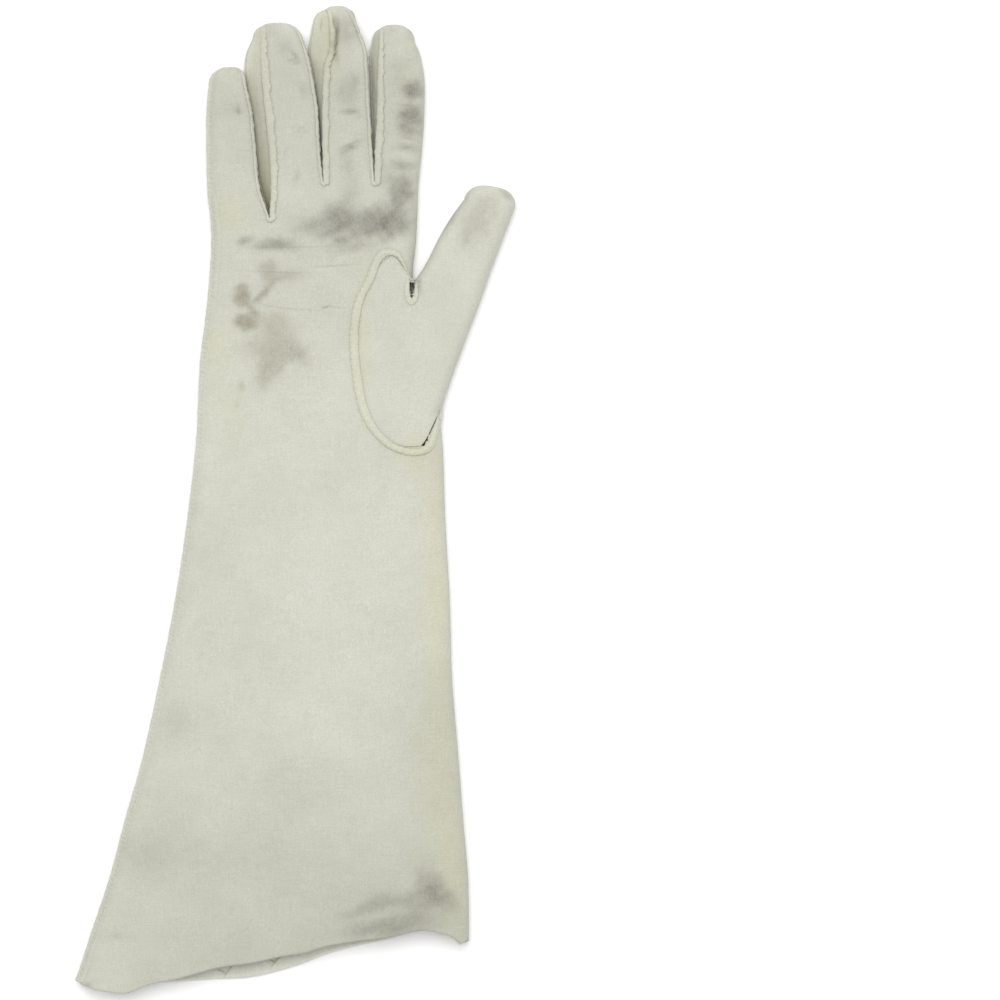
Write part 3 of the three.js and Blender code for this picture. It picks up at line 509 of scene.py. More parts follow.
@dataclass
class HandShape:
    """Outer surfaces of the hand and cuff: outline, loft, mouth, dents and waves.

    Rows of the outline hold y, x of the seam and of the fold, and the loft. Rows of the mouth hold x
    and y of the palm's and of the back's rim. Folds are ovals.
    """

    outline: Rows = (
        (-198, -89.8, 69.8, 10.2), (-186, -85.4, 69.8, 10.1), (-176, -82.2, 69.8, 10),
        (-152, -74.2, 69.4, 9.4), (-128, -67.8, 67.4, 8.8), (-104, -61, 65.6, 8.4), (-72, -54, 63, 8.2),
        (-40, -47.8, 62, 8.1), (-8, -43, 60.2, 8.1), (24, -39.4, 59, 8.2), (40, -38.6, 56.6, 8.3),
        (56, -37.8, 53.6, 8.3), (72, -35.8, 50.4, 8.3), (88, -34.2, 47.2, 8.2), (104, -33.4, 48.6, 8.1),
        (127, -34.6, 49.6, 8),
    )
    mouth: Rows = (
        (-88, -194.4, -194.4), (-75, -197, -194.8), (-67, -197.4, -194.4), (-60, -194.2, -194),
        (-48, -191.6, -193.4), (-33, -187.2, -192.2), (-20, -185.4, -191.6), (-8, -182.8, -188.8),
        (2, -181.2, -185.6), (10, -178.8, -182.4), (22, -176.8, -179.2), (36, -175.2, -176.4),
        (50, -172.4, -172.8), (58, -173.6, -173.4), (63.6, -175.4, -176.2), (66.6, -177.6, -178.6),
        (69.8, -176.6, -177.2),
    )
    corners: Rows = ((-34.2, 111), (-10, 112.5), (11.5, 127), (32, 127), (49.6, 127))
    folds: Rows = (
        (56, -155, 14, 8, -1.3, -35), (30, -164, 26, 7, -0.6, 8), (-58, -142, 16, 9, -0.7, 60),
        (-44, -92, 18, 9, -0.6, 70), (42, -62, 16, 8, -0.7, -60), (10, 95, 18, 7, -0.6, -20),
        (-6, 76, 16, 8, -0.5, 10), (-14, -20, 22, 10, -0.4, 20), (52, -146, 9, 4, -0.7, -58),
        (24, -162, 34, 2.2, -0.35, 5), (-72, -177, 14, 2, -0.35, -2), (60, -166, 8, 3, 0.6, -70),
        (15, 93, 10, 0.9, -0.07, 3), (2, 75.9, 16, 0.9, -0.09, 0), (-24, 74, 7, 1.6, -0.3, -30),
        (-16, 84, 6, 1.6, -0.3, 50), (43, 152, 6, 1.8, -0.32, 4), (44, 146, 6, 1.3, 0.35, -8),
        (43, 138.5, 6, 1.8, -0.28, -12), (42, 131, 6, 1.8, -0.26, 6), (23, 141.5, 4, 1, -0.35, 28),
        (22, 138.2, 4.5, 1, -0.3, 24), (23, 153.5, 4, 0.9, -0.25, -16), (0, 178, 4, 1.2, -0.3, -50),
    )
    ripples: Rows = (
        (61, 12, 30, 0.3), (43, 68, 110, 0.2), (31, -35, 200, 0.14), (22, 8, 300, 0.08), (14, 50, 40, 0.035),
        (9.5, -70, 80, 0.018), (6.3, 25, 10, 0.01),
    )
    edge_share: float = 0.36
    round_width: float = 8.0
    seam_inset: float = 1.85
    slot_palm: float = 7.0
    slot_back: float = 2.2
    dip_radius: float = 6.0
    lift_radius: float = 4.0
    mouth_fold: float = 0.95

    def __post_init__(self) -> None:
        """Reads the tables as curves and shapes."""
        keys, *columns = np.array(self.outline, float).T
        self.seam, self.fold, self.loft = (Curve(keys, column) for column in columns)
        keys, palm, back = np.array(self.mouth, float).T
        self.rim = {Layer.PALM: Curve(keys, palm), Layer.BACK: Curve(keys, back)}
        x, y = np.array(self.corners, float).T
        across = (x - self.edge(y)) / (self.fold(y) - self.edge(y))
        self.shares = np.concatenate([[0.0], across[1:-1], [1.0]])
        self.shapes = [*(Oval(*row) for row in self.folds), *(Ripple(*row) for row in self.ripples)]

    def edge(self, y: Number) -> Array:
        """x of the cloth's edge beside the side seam."""
        return self.seam(y) + self.seam_inset

    def rise(self, x: Array, y: Array) -> Array:
        """Share of the rounding that is done at a place, 0 at both edges of the hand and 1 inside."""
        left = rounded((x - self.edge(y)) / self.round_width)
        return left * rounded((self.fold(y) - x) / self.round_width)

    def relief(self, x: Array, y: Array) -> Array:
        """Height of all folds and waves of the palm at a place."""
        return sum(shape.at(x, y) for shape in self.shapes)

    def height(self, layer: Layer, x: Array, y: Array) -> Array:
        """Height of one layer's outer side.

        The palm rises from its edge as a quarter circle to the loft, less a dip at the foot of each
        gap between fingers. The back falls to the floor and is lifted by a bell there.

        Args:
            layer: palm or back.
            x: places across.
            y: places along.

        Returns:
            Heights above the floor.
        """
        loft = self.loft(y)
        low = self.edge_share * loft
        rise = self.rise(x, y)
        reach = self.dip_radius if layer is Layer.PALM else self.lift_radius
        near = np.max([Oval(*place, reach, reach, 1.0).at(x, y) for place in self.corners[1:-1]], axis=0)
        if layer is Layer.PALM:
            return low + (loft + self.relief(x, y) - near * (loft - self.slot_palm) - low) * rise
        return low * (1 - rise) + self.slot_back * near * rise

    def mouth_line(self, layer: Layer, share: Number) -> Array:
        """y where the cloth starts to turn in at the mouth, at shares across."""
        return self.rim[layer](lerp(self.mouth[0][0], self.mouth[-1][0], share)) + self.mouth_fold

    def grid(self, layer: Layer, along: Array, share: Array) -> Array:
        """Places of one layer, from the mouth at 0 to the line on which the fingers stand at 1.

        Args:
            layer: palm or back.
            along: shares of the way up, n by 1.
            share: shares of the way across, 1 by m.

        Returns:
            Places, n by m by 3.
        """
        finger_line = np.interp(share, self.shares, [y for _, y in self.corners])
        y = lerp(self.mouth_line(layer, share), finger_line, along)
        x = lerp(self.edge(y), self.fold(y), share)
        return np.stack([x, y, self.height(layer, x, y)], axis=-1)


def tip_stations(body: int, tip: int, end: float) -> tuple[Array, Array]:
    """Places up a finger, from 0 at its foot to 1, and angles round its tip to an end in degrees."""
    place = np.concatenate([np.linspace(0, 1, body), np.ones(tip)])
    return place, np.concatenate([np.zeros(body), np.linspace(0, end, tip + 1)[1:]])


def round_out(flat: Array, middle: Array, tip: Pair, angle: Array) -> Array:
    """Rows moved out round a tip: shrunk by a power of their angle's cosine, and moved by its sine."""
    turn = np.radians(angle)[:, None, None]
    return (flat - middle) * np.cos(turn).clip(0, 1) ** TIP_FULLNESS + middle + (tip - middle) * np.sin(turn)


def close_down(flat: Array, height: Array, low: float, angle: Array) -> Array:
    """Places whose heights near the edge's low one round a tip, by a power of the angle's cosine."""
    closing = np.cos(np.radians(angle))[:, None].clip(0, 1) ** TIP_FLATTENING
    return np.concatenate([flat, (low + (height - low) * closing)[..., None]], axis=-1)


@dataclass
class Finger:
    """One finger of the hand's cloth.

    Columns of its rows are the palm's left x and y and right x and y, then the back's left and right x.
    """

    name: str
    tip: Pair
    rows: Rows
    closed: tuple[Side, ...] = ()
    loft: float = 8.0
    round_width: float = 5.0
    lift_width: float = 5.0
    join_from: float = 32.0
    join_to: float = 52.0
    inset_end: float = 75.0
    row_step: float = 13.0
    foot_blend: float = 14.0
    body_rows: int = 46
    tip_rows: int = 14
    lanes: int = 26
    back_lanes: int = 11
    lane_weight: float = 0.62

    def __post_init__(self) -> None:
        """Reads the rows as one curve against their number."""
        rows = np.array(self.rows, float)
        self.columns = Curve(np.arange(len(rows)), rows)

    def stations(self) -> tuple[Array, Array]:
        """Places along the finger, from 0 at its foot to 1, and the angles of its round tip."""
        return tip_stations(self.body_rows + 1, self.tip_rows, 90)

    def surface(self, hand: HandShape, layer: Layer, place: Array, angle: Array, share: Array) -> Array:
        """Outer side of one layer, fitted to the hand at its foot.

        Args:
            hand: the shape of the hand that the finger stands on.
            layer: palm or back.
            place: place of each row, n long.
            angle: angle of each row in degrees, n long.
            share: shares across, n by m or 1 by m.

        Returns:
            Places, n by m by 3.
        """
        raw = self._bare(hand, layer, place, angle, share)
        foot = self._bare(hand, layer, place * 0, angle * 0, share)
        first = FINGER_NAMES.index(self.name)
        across = lerp(hand.shares[first], hand.shares[first + 1], share)
        target = hand.grid(layer, np.ones((1, 1)), across)
        length = (len(self.rows) - 1) * self.row_step
        fade = 1 - smooth(place * length / self.foot_blend)
        return raw + (target - foot) * fade[:, None, None]

    def _bare(self, hand: HandShape, layer: Layer, place: Array, angle: Array, share: Array) -> Array:
        """The outer side before its foot is fitted.

        Across, the palm rises as a quarter circle from each edge; the back falls to the floor.

        Args:
            hand: the shape of the hand.
            layer: palm or back.
            place: place of each row.
            angle: angle of each row in degrees.
            share: shares across.

        Returns:
            Places, n by m by 3.
        """
        row = self.columns(place * (len(self.rows) - 1))
        join = smooth((angle - self.join_from) / (self.join_to - self.join_from))
        pairs = ((0, 4), (2, 5)) if layer is Layer.PALM else ((4, 0), (5, 2))
        left_x, right_x = (lerp(row[:, a], (row[:, a] + row[:, b]) / 2, join) for a, b in pairs)
        if Side.LEFT in self.closed:
            left_x = left_x + hand.seam_inset * (1 - smooth(angle / self.inset_end))
        left = np.stack([left_x, row[:, 1]], axis=-1)[:, None]
        right = np.stack([right_x, row[:, 3]], axis=-1)[:, None]
        width = np.linalg.norm(right - left, axis=-1)
        flat = round_out(lerp(left, right, share[..., None]), (left + right) / 2, self.tip, angle)
        low = hand.edge_share * self.loft
        if layer is Layer.BACK:
            return close_down(flat, self._under(hand, share, width, join[:, None]), low, angle)
        shut, open_edge = low + join * 0, lerp(hand.slot_palm, low, join)
        ends = [shut if side in self.closed else open_edge for side in Side]
        base = lerp(ends[0][:, None], ends[1][:, None], share)
        rise = arched(share, width, self.round_width, self.round_width)
        relief = hand.relief(flat[..., 0], flat[..., 1])
        return close_down(flat, base + (self.loft - base) * rise + relief * rise, low, angle)

    def _under(self, hand: HandShape, share: Array, width: Array, join: Array) -> Array:
        """Height of the back's cloth: lifted by a cosine at open edges, curved up at shut ones.

        Args:
            hand: the shape of the hand.
            share: shares across.
            width: width of each row, n by 1.
            join: how far the edges are joined to the palm's, n by 1.

        Returns:
            Heights, n by m.
        """
        low = hand.edge_share * self.loft
        total = 0.0
        for side, distance in zip(Side, (share * width, (1 - share) * width)):
            shut = low * (1 - rounded(distance / self.round_width))
            fade = np.cos(np.pi * np.clip(distance / self.lift_width, 0, 1))
            mix = 1.0 if side in self.closed else join
            total = total + lerp(hand.slot_back * (1 + fade) / 2, shut, mix)
        return total

    def across(self, layer: Layer) -> Array:
        """Shares across the finger for one layer's lanes, 1 by m."""
        count = self.lanes if layer is Layer.PALM else self.back_lanes
        return edge_weighted(count + 1, self.lane_weight)[None, :]

    def width(self, layer: Layer, place: Array, angle: Array) -> Array:
        """Width of one layer, between its rows' ends and less round the tip.

        Args:
            layer: palm or back.
            place: place of each station.
            angle: angle of each station in degrees.

        Returns:
            Widths, n long.
        """
        row = self.columns(place * (len(self.rows) - 1))
        left, right = (0, 2) if layer is Layer.PALM else (4, 5)
        full = np.hypot(row[:, right] - row[:, left], row[:, 3] - row[:, 1])
        return full * np.cos(np.radians(angle)) ** TIP_FULLNESS


FINGER_NAMES = ("little", "ring", "middle", "index")
FINGERS = (
    Finger(
        "little", (-26.3, 173),
        (
            (-34.2, 111, -10, 112.5, -34.2, -10), (-35, 124, -14, 125, -35, -15.6),
            (-35.4, 140, -15.5, 141, -35.4, -17.2), (-35.4, 153.5, -17, 155, -35.4, -18.6),
            (-34.6, 165, -19.4, 166, -34.6, -21),
        ),
        (Side.LEFT,),
    ),
    Finger(
        "ring", (-7, 190.8),
        (
            (-10, 112.5, 11.5, 127, -10, 11.5), (-9.5, 123, 10.6, 135, -13.4, 9),
            (-10, 136, 9.9, 145, -15.6, 8), (-11.5, 151, 9.3, 156, -17, 7), (-13, 166, 7.4, 168, -19.8, 5.6),
            (-13.5, 177, 5.6, 177, -19.8, 4.4), (-13.2, 184.5, 3.2, 184.5, -16.9, 2.4),
        ),
    ),
    Finger(
        "middle", (17, 197.5),
        (
            (11.5, 127, 32, 127, 11.5, 32), (11.2, 140, 31.1, 140, 10.2, 30),
            (11.1, 155.5, 30.2, 155.5, 8.7, 29), (11.5, 168.5, 29.6, 169, 7.2, 28.5),
            (12, 174.2, 29.2, 174.5, 6, 28.1), (14, 180, 28.6, 180, 5.4, 27.6),
            (13.9, 191, 24.6, 191, 7.2, 24),
        ),
    ),
    Finger(
        "index", (39.6, 190),
        (
            (32, 127, 49.6, 127, 32, 49.6), (32.2, 139.5, 50.9, 139.5, 31.2, 50.9),
            (32.9, 151.5, 51.8, 151.5, 30.8, 51.8), (33.1, 167.5, 52, 167.5, 30.4, 52),
            (33.5, 178, 50.2, 178, 30, 50.2), (34, 183, 48, 183, 30.8, 48),
        ),
        (Side.RIGHT,),
    ),
)


@dataclass
class SeamBand:
    """A flat folded seam: the places down its middle and its width there, in rows of x, y, width."""

    rows: Rows = (
        (46.8, 87.4, 0.9), (44.4, 92.6, 1.3), (42, 97, 1.8), (39, 98.6, 2.5), (35.2, 97.9, 3.2),
        (32.6, 94.3, 3.3), (30.2, 88, 3.3), (26.2, 80, 3.4), (24.2, 70.4, 3.6), (24, 59.2, 3.6),
        (25.6, 45.6, 3.7), (28, 35.2, 3.6), (32, 27.6, 3.3), (37.8, 22, 3), (44, 19.2, 2.8),
        (50.2, 18.9, 2.9), (54.2, 21.2, 3.2), (56.2, 26.2, 2.8), (57.8, 31.6, 2.1), (58.6, 36.4, 1.2),
    )

    def path(self, count: int) -> tuple[Array, Array]:
        """The middle line at even steps, with its width.

        Args:
            count: how many places.

        Returns:
            Places, count by 2, and widths.
        """
        rows = np.array(self.rows, float)
        keys = np.concatenate([[0], np.cumsum(np.hypot(*np.diff(rows[:, :2], axis=0).T))])
        read = Curve(keys, rows)(np.linspace(0, keys[-1], count))
        return read[:, :2], read[:, 2]


@dataclass
class ThumbShape:
    """The set-in thumb: rows of its cloth from the foot of its oval to its tip.

    The first rows are sewn to the palm at both ends, the next at their left end, and the last are
    a free tube. A row's columns are left x and y, right x and y, and its sag to the wrist.
    """

    rows: Rows = (
        (44, 20.8, 50.6, 21.2, 0), (37, 23.4, 52.6, 23.8, 0), (31, 29, 55.4, 29.4, 0),
        (27.2, 36.4, 59.2, 37.8, 0), (25.2, 47, 62.4, 47.2, 0), (24.2, 59, 65.2, 55, 0),
        (24.4, 71, 67.8, 62, 0), (26.2, 80, 69.7, 67, 0), (30, 88.4, 71.2, 71, 0.4),
        (34.9, 94.8, 72.6, 74.5, 4.4), (39.2, 97.3, 73.7, 77.5, 6.2), (43.9, 93.2, 74.7, 80.5, 4.9),
        (47.9, 87.6, 76, 84, 0), (53, 95.2, 78, 90, 0), (57.8, 104.8, 81.6, 99.6, 0),
        (62.8, 113.2, 84.8, 108, 0), (67.8, 120, 88.2, 116.6, 0),
    )
    tip: Pair = (79.4, 125.2)
    last_both: int = 3
    root: int = 12
    loft: float = 8.6
    edge_share: float = 0.36
    base_round: float = 12.0
    edge_round: float = 5.0
    past_fold: float = 6.0
    fold_gap: float = 0.25
    under_lip: float = 1.8
    lip_rows: float = 0.5
    free_rows: float = 0.6
    relief_share: float = 0.6
    relief_shift: Pair = (31.0, -47.0)
    hole_beyond: float = 40.0
    hole_steps: int = 6
    slit_from: float = 0.7
    slit_blend: float = 0.6
    slit_end: float = 0.5
    tip_rows: int = 14
    rows_between: int = 12
    lanes: int = 60
    under_lanes: int = 30

    def __post_init__(self) -> None:
        """Reads the rows as one curve against their number."""
        self.columns = Curve(np.arange(len(self.rows)), np.array(self.rows, float))
        self.low = self.edge_share * self.loft

    def stations(self, first: float) -> tuple[Array, Array]:
        """Row numbers from a first one to the last, and angles round the tip.

        Args:
            first: the first row's number.

        Returns:
            Numbers with fractions, and angles in degrees.
        """
        last = len(self.rows) - 1
        steps = int((last - first) * self.rows_between)
        numbers = np.concatenate([np.linspace(first, last, steps + 1), np.full(self.tip_rows, last)])
        return numbers, tip_stations(steps + 1, self.tip_rows, 90)[1]

    def _ends(self, hand: HandShape, number: Array) -> tuple[Array, Array]:
        """Left and right ends of the upper side's rows: on the palm where sewn, or else free.

        Args:
            hand: the shape of the palm.
            number: row numbers with fractions, n long.

        Returns:
            Both ends, n by 3.
        """
        left_x, left_y, right_x, right_y, _ = self.columns(number).T
        limit = hand.fold(left_y) + self.past_fold * np.clip(number - self.root, 0, None)
        left_x = np.minimum(left_x, limit)
        left_z = lerp(hand.height(Layer.PALM, left_x, left_y), self.low, smooth(number - self.root + 1))
        sewn_z = hand.height(Layer.PALM, right_x, right_y)
        right_z = lerp(sewn_z, self.low, smooth(number - self.last_both))
        return np.stack([left_x, left_y, left_z], axis=-1), np.stack([right_x, right_y, right_z], axis=-1)

    def _between(self, left: Array, right: Array, share: Array) -> tuple[Array, Array]:
        """Straight rows between two ends, and their widths."""
        width = np.linalg.norm(right - left, axis=-1)[:, None]
        return lerp(left[:, None], right[:, None], share[..., None]), width

    def _around(self, flat: Array, z: Array, left: Array, right: Array, angle: Array) -> Array:
        """The rows' places with their heights, moved out round the tip."""
        middle = (left[:, None, :2] + right[:, None, :2]) / 2
        return close_down(round_out(flat, middle, self.tip, angle), z, self.low, angle)

    def top(self, hand: HandShape, number: Array, angle: Array, share: Array) -> Array:
        """The thumb's upper side, rising as quarter circles from its two edges.

        Args:
            hand: the shape of the palm that it is sewn to.
            number: row numbers with fractions, n long.
            angle: angle of each row round the tip, n long.
            share: shares across, 1 by m.

        Returns:
            Places, n by m by 3.
        """
        sag = self.columns(number)[:, 4:5]
        left, right = self._ends(hand, number)
        places, width = self._between(left, right, share)
        base = lerp(self.base_round, self.edge_round, smooth((number - self.root + 2) / 3))[:, None]
        rise = arched(share, width, base, self.edge_round)
        flat = places[..., :2].copy()
        flat[..., 1] -= sag * np.sin(np.pi * np.sqrt(share))
        shift_x, shift_y = self.relief_shift
        relief = self.relief_share * hand.relief(flat[..., 0] + shift_x, flat[..., 1] + shift_y)
        z = places[..., 2] + (self.loft + relief - places[..., 2]) * rise
        return self._around(flat, z, left, right, angle)

    def under(self, hand: HandShape, number: Array, angle: Array, share: Array) -> Array:
        """The thumb's under side, from the fold of the hand or its free edge, falling to the floor.

        Args:
            hand: the shape of the hand.
            number: row numbers with fractions, n long.
            angle: angle of each row round the tip, n long.
            share: shares across, 1 by m.

        Returns:
            Places, n by m by 3.
        """
        right_y = self.columns(number)[:, 3]
        foot, root = (np.array(self.rows[at], float) for at in (self.last_both, self.root))
        beside = foot[3] + (right_y - foot[3]) * (root[1] - foot[3]) / (root[3] - foot[3])
        free_left, right = self._ends(hand, number)
        free = smooth((number - self.root + self.free_rows) / self.free_rows)[:, None]
        lip = lerp(self.low, self.under_lip, smooth((number - self.last_both) / self.lip_rows))
        beside_fold = np.stack([hand.fold(beside) + self.fold_gap, beside, lip], axis=-1)
        left = lerp(beside_fold, free_left, free)
        places, width = self._between(left, right, share)
        fall = arched(share, width, self.edge_round, self.edge_round)
        return self._around(places[..., :2], places[..., 2] * (1 - fall), left, right, angle)

    def hole(self, tuck: float, gap: float, hand: HandShape) -> Array:
        """Flat outline of the hole in the palm, open past the fold of the hand.

        Args:
            tuck: how far the palm's cloth reaches under the thumb along the oval.
            gap: width of the slit that stays open at the foot of the oval.
            hand: the shape of the hand.

        Returns:
            Corners, n by 2.
        """
        rows = np.array(self.rows, float)
        line = np.concatenate([rows[: self.root + 1, :2][::-1], rows[: self.last_both + 1, 2:4]])
        last = len(line) - 1
        numbers = np.linspace(0, last, self.hole_steps * len(line))
        open_part = smooth((numbers - self.root - self.slit_from) / self.slit_blend)
        open_part = open_part * smooth((last - numbers) / self.slit_end)
        line = Curve(np.arange(len(line)), line)(numbers)
        moved = line + lerp(-tuck, gap, open_part)[:, None] * right_of(line)
        beyond = hand.fold(0.0) + self.hole_beyond
        return np.concatenate([moved, [[beyond, moved[-1, 1]], [beyond, moved[0, 1]]]])


# Pieces


@dataclass
class HandCloth:
    """The one folded cloth of the cuff, the hand and the four fingers."""

    hand: HandShape
    fingers: tuple[Finger, ...]
    thumb: ThumbShape
    cuff_rows: int = 92
    palm_rows: int = 140
    cuff_part: float = 0.622
    thickness: float = 0.85
    fold_radius: float = 0.95
    fold_steps: int = 8
    returned: float = 1.2
    hole_tuck: float = 0.6
    hole_gap: float = 0.45
    snap_reach: float = 0.62

    def shares(self, layer: Layer) -> Array:
        """Shares across the hand of one layer's lanes, closer together along each finger's edges.

        Args:
            layer: palm or back.

        Returns:
            Shares, 1 by m.
        """
        bounds = self.hand.shares
        spans = zip(bounds[:-1], bounds[1:], self.fingers)
        parts = [lerp(left, right, finger.across(layer)[0])[:-1] for left, right, finger in spans]
        return np.concatenate([*parts, [1.0]])[None, :]

    def turned_in(self, layer: Layer, leg: Array, turn: Array, outer: float) -> Array:
        """Cloth that runs down inside the cuff and then round the fold at the mouth.

        The direction out of the cloth turns evenly round each edge of the hand, as on a circle.

        Args:
            layer: palm or back.
            leg: distances up from the mouth of the straight part.
            turn: angles round the fold in degrees, 180 inside the cuff and 0 outside.
            outer: distance from the middle of the fold.

        Returns:
            Places, n by m by 3.
        """
        hand, share = self.hand, self.shares(layer)
        leg, turn = leg[:, None], np.radians(turn)[:, None]
        depth = self.fold_radius + outer * np.concatenate([leg * 0 + 1, -np.cos(turn)])
        ahead = np.concatenate([leg * 0, outer * np.sin(turn)])
        y = hand.mouth_line(layer, share) + np.concatenate([leg, turn * 0])
        x = lerp(hand.edge(y), hand.fold(y), share)
        z = hand.height(layer, x, y)
        left = np.clip((x - hand.edge(y)) / hand.round_width, 0, 1)
        right = np.clip((hand.fold(y) - x) / hand.round_width, 0, 1)
        upward = hand.rise(x, y) * (1 if layer is Layer.PALM else -1)
        return np.stack([x - depth * (left - right), y - ahead, z - depth * upward], axis=-1)

    def build(self) -> Piece:
        """Builds both layers of the cloth, with the oval hole for the thumb in the palm.

        Returns:
            The cloth.
        """
        sheet = Sheet()
        cuff = np.linspace(0, self.cuff_part, self.cuff_rows)
        palm = np.linspace(self.cuff_part, 1, self.palm_rows)[1:]
        along = np.concatenate([cuff, palm])[:, None]
        leg = np.linspace(self.returned, 0, 4)[:-1]
        turn = np.linspace(180, 0, 2 * self.fold_steps + 1)
        outline = self.thumb.hole(self.hole_tuck, self.hole_gap, self.hand)
        for layer in Layer:
            back = layer is Layer.BACK
            grid, keep = self.hand.grid(layer, along, self.shares(layer)), None
            if not back:
                grid, keep = snap_to(grid, outline, self.snap_reach)
                grid[..., 2] = self.hand.height(layer, grid[..., 0], grid[..., 1])
            sheet.add(grid, back, keep)
            sheet.add(self.turned_in(layer, leg, turn, self.fold_radius), back)
            for finger in self.fingers:
                place, angle = finger.stations()
                sheet.add(finger.surface(self.hand, layer, place, angle, finger.across(layer)), back)
        return sheet.build("hand_cloth", self.thickness)


@dataclass
class Hem:
    """The cloth turned in at the mouth, from the lip to its stitched edge."""

    cloth: HandCloth
    end: float = 15.0
    over: float = 0.04
    rows: int = 26
    lip_steps: int = 7
    lip_end: float = 100.0

    def build(self) -> Piece:
        """Builds the ring of turned-in cloth.

        Returns:
            The ring.
        """
        sheet = Sheet()
        leg = np.linspace(self.end, 0, self.rows)[:-1]
        turn = np.linspace(180, self.lip_end, self.lip_steps)
        for layer in Layer:
            grid = self.cloth.turned_in(layer, leg, turn, self.cloth.fold_radius + self.over)
            sheet.add(grid, layer is Layer.BACK)
        return sheet.build("hem_turnup", self.cloth.thickness)


@dataclass
class HemStitches:
    """The two pulled stitches that show on the turned-in cloth of the back layer.

    Each row holds a thread's two ends in the plane, as x, y, x, y.
    """

    hem: Hem
    radius: float = 0.24
    arch: float = 0.34
    steps: int = 9
    rows: Rows = (
        (-28.6, -191.9, -25.0, -187.0), (-31.0, -188.6, -27.6, -190.4),
        (-9.6, -187.8, -5.8, -183.4), (-10.2, -184.6, -7.4, -186.4),
    )

    def build(self) -> Piece:
        """Builds the threads, each a low arch on the inner side of the turned-in cloth.

        Returns:
            The threads.
        """
        ends = np.array(self.rows)
        share = np.linspace(0, 1, self.steps)[None, :]
        x, y = (lerp(ends[:, at : at + 1], ends[:, at + 2 : at + 3], share) for at in (0, 1))
        cloth = self.hem.cloth
        depth = 2 * cloth.fold_radius + self.hem.over
        z = cloth.hand.height(Layer.BACK, x, y) + depth + self.arch * np.sin(np.pi * share)
        return threads("hem_stitches", np.stack([x, y, z], axis=-1), self.radius)


@dataclass
class ThumbCloth:
    """The cloth of the thumb: an oval root on the palm, and a flattened tube with a round tip."""

    hand: HandShape
    thumb: ThumbShape
    thickness: float = 0.85
    lane_weight: float = 0.6
    snap_reach: float = 0.4
    slit: Rows = (
        (45.5, 87.6), (48.5, 87), (47.9, 83.4), (47.3, 81), (46.9, 79.2), (46.3, 81), (46, 83.4),
    )

    def top(self) -> Array:
        """The grid of the thumb's upper side."""
        share = edge_weighted(self.thumb.lanes + 1, self.lane_weight)[None, :]
        return self.thumb.top(self.hand, *self.thumb.stations(0.0), share)

    def build(self) -> Piece:
        """Builds both sides of the thumb, with the slit in the upper one.

        Returns:
            The thumb's cloth.
        """
        share = edge_weighted(self.thumb.under_lanes + 1, self.lane_weight)[None, :]
        under = self.thumb.under(self.hand, *self.thumb.stations(self.thumb.last_both), share)
        top, keep = snap_to(self.top(), np.array(self.slit), self.snap_reach)
        return Sheet().add(top, False, keep).add(under, True).build("thumb_cloth", self.thickness)


@dataclass(frozen=True)
class ThreadStyle:
    """Stitches of one seam: their pitch, length, radius and slant, how uneven they are, and their arch."""

    pitch: float
    length: float
    radius: float
    slant: float
    uneven: float = 0.14
    astray: float = 0.6
    arch: float = 0.1
    steps: int = 6


def stitches_along(grid: Array, lane: float, style: ThreadStyle) -> Array:
    """Short stitches that lie along a strip, with uneven steps.

    Args:
        grid: upper side of the strip, stations by lanes by 3.
        lane: the lane they lie on, as a share of the strip's width.
        style: their sizes.

    Returns:
        Their paths, stitches by steps by 3.
    """
    column = int(round(lane * (grid.shape[1] - 1)))
    lengths = path_lengths(grid[:, column])
    starts = np.arange(style.pitch, lengths[-1] - style.pitch, style.pitch)
    starts = starts + style.uneven * style.pitch * wander(starts, 3.7 * style.pitch, 1.3)
    steps = np.linspace(0, 1, style.steps)
    at = starts[:, None] + style.length * steps
    rows = np.interp(at, lengths, np.arange(len(lengths)))
    aside = column + style.slant * (steps - 0.5) + style.astray * wander(starts, 7.0, 0.4)[:, None]
    low = np.clip(np.floor(aside).astype(int), 0, grid.shape[1] - 2)
    part = (aside - low)[..., None]
    near = read_rows(grid, rows, low) * (1 - part) + read_rows(grid, rows, low + 1) * part
    return near + UP * (style.arch * np.sin(np.pi * steps))[:, None]


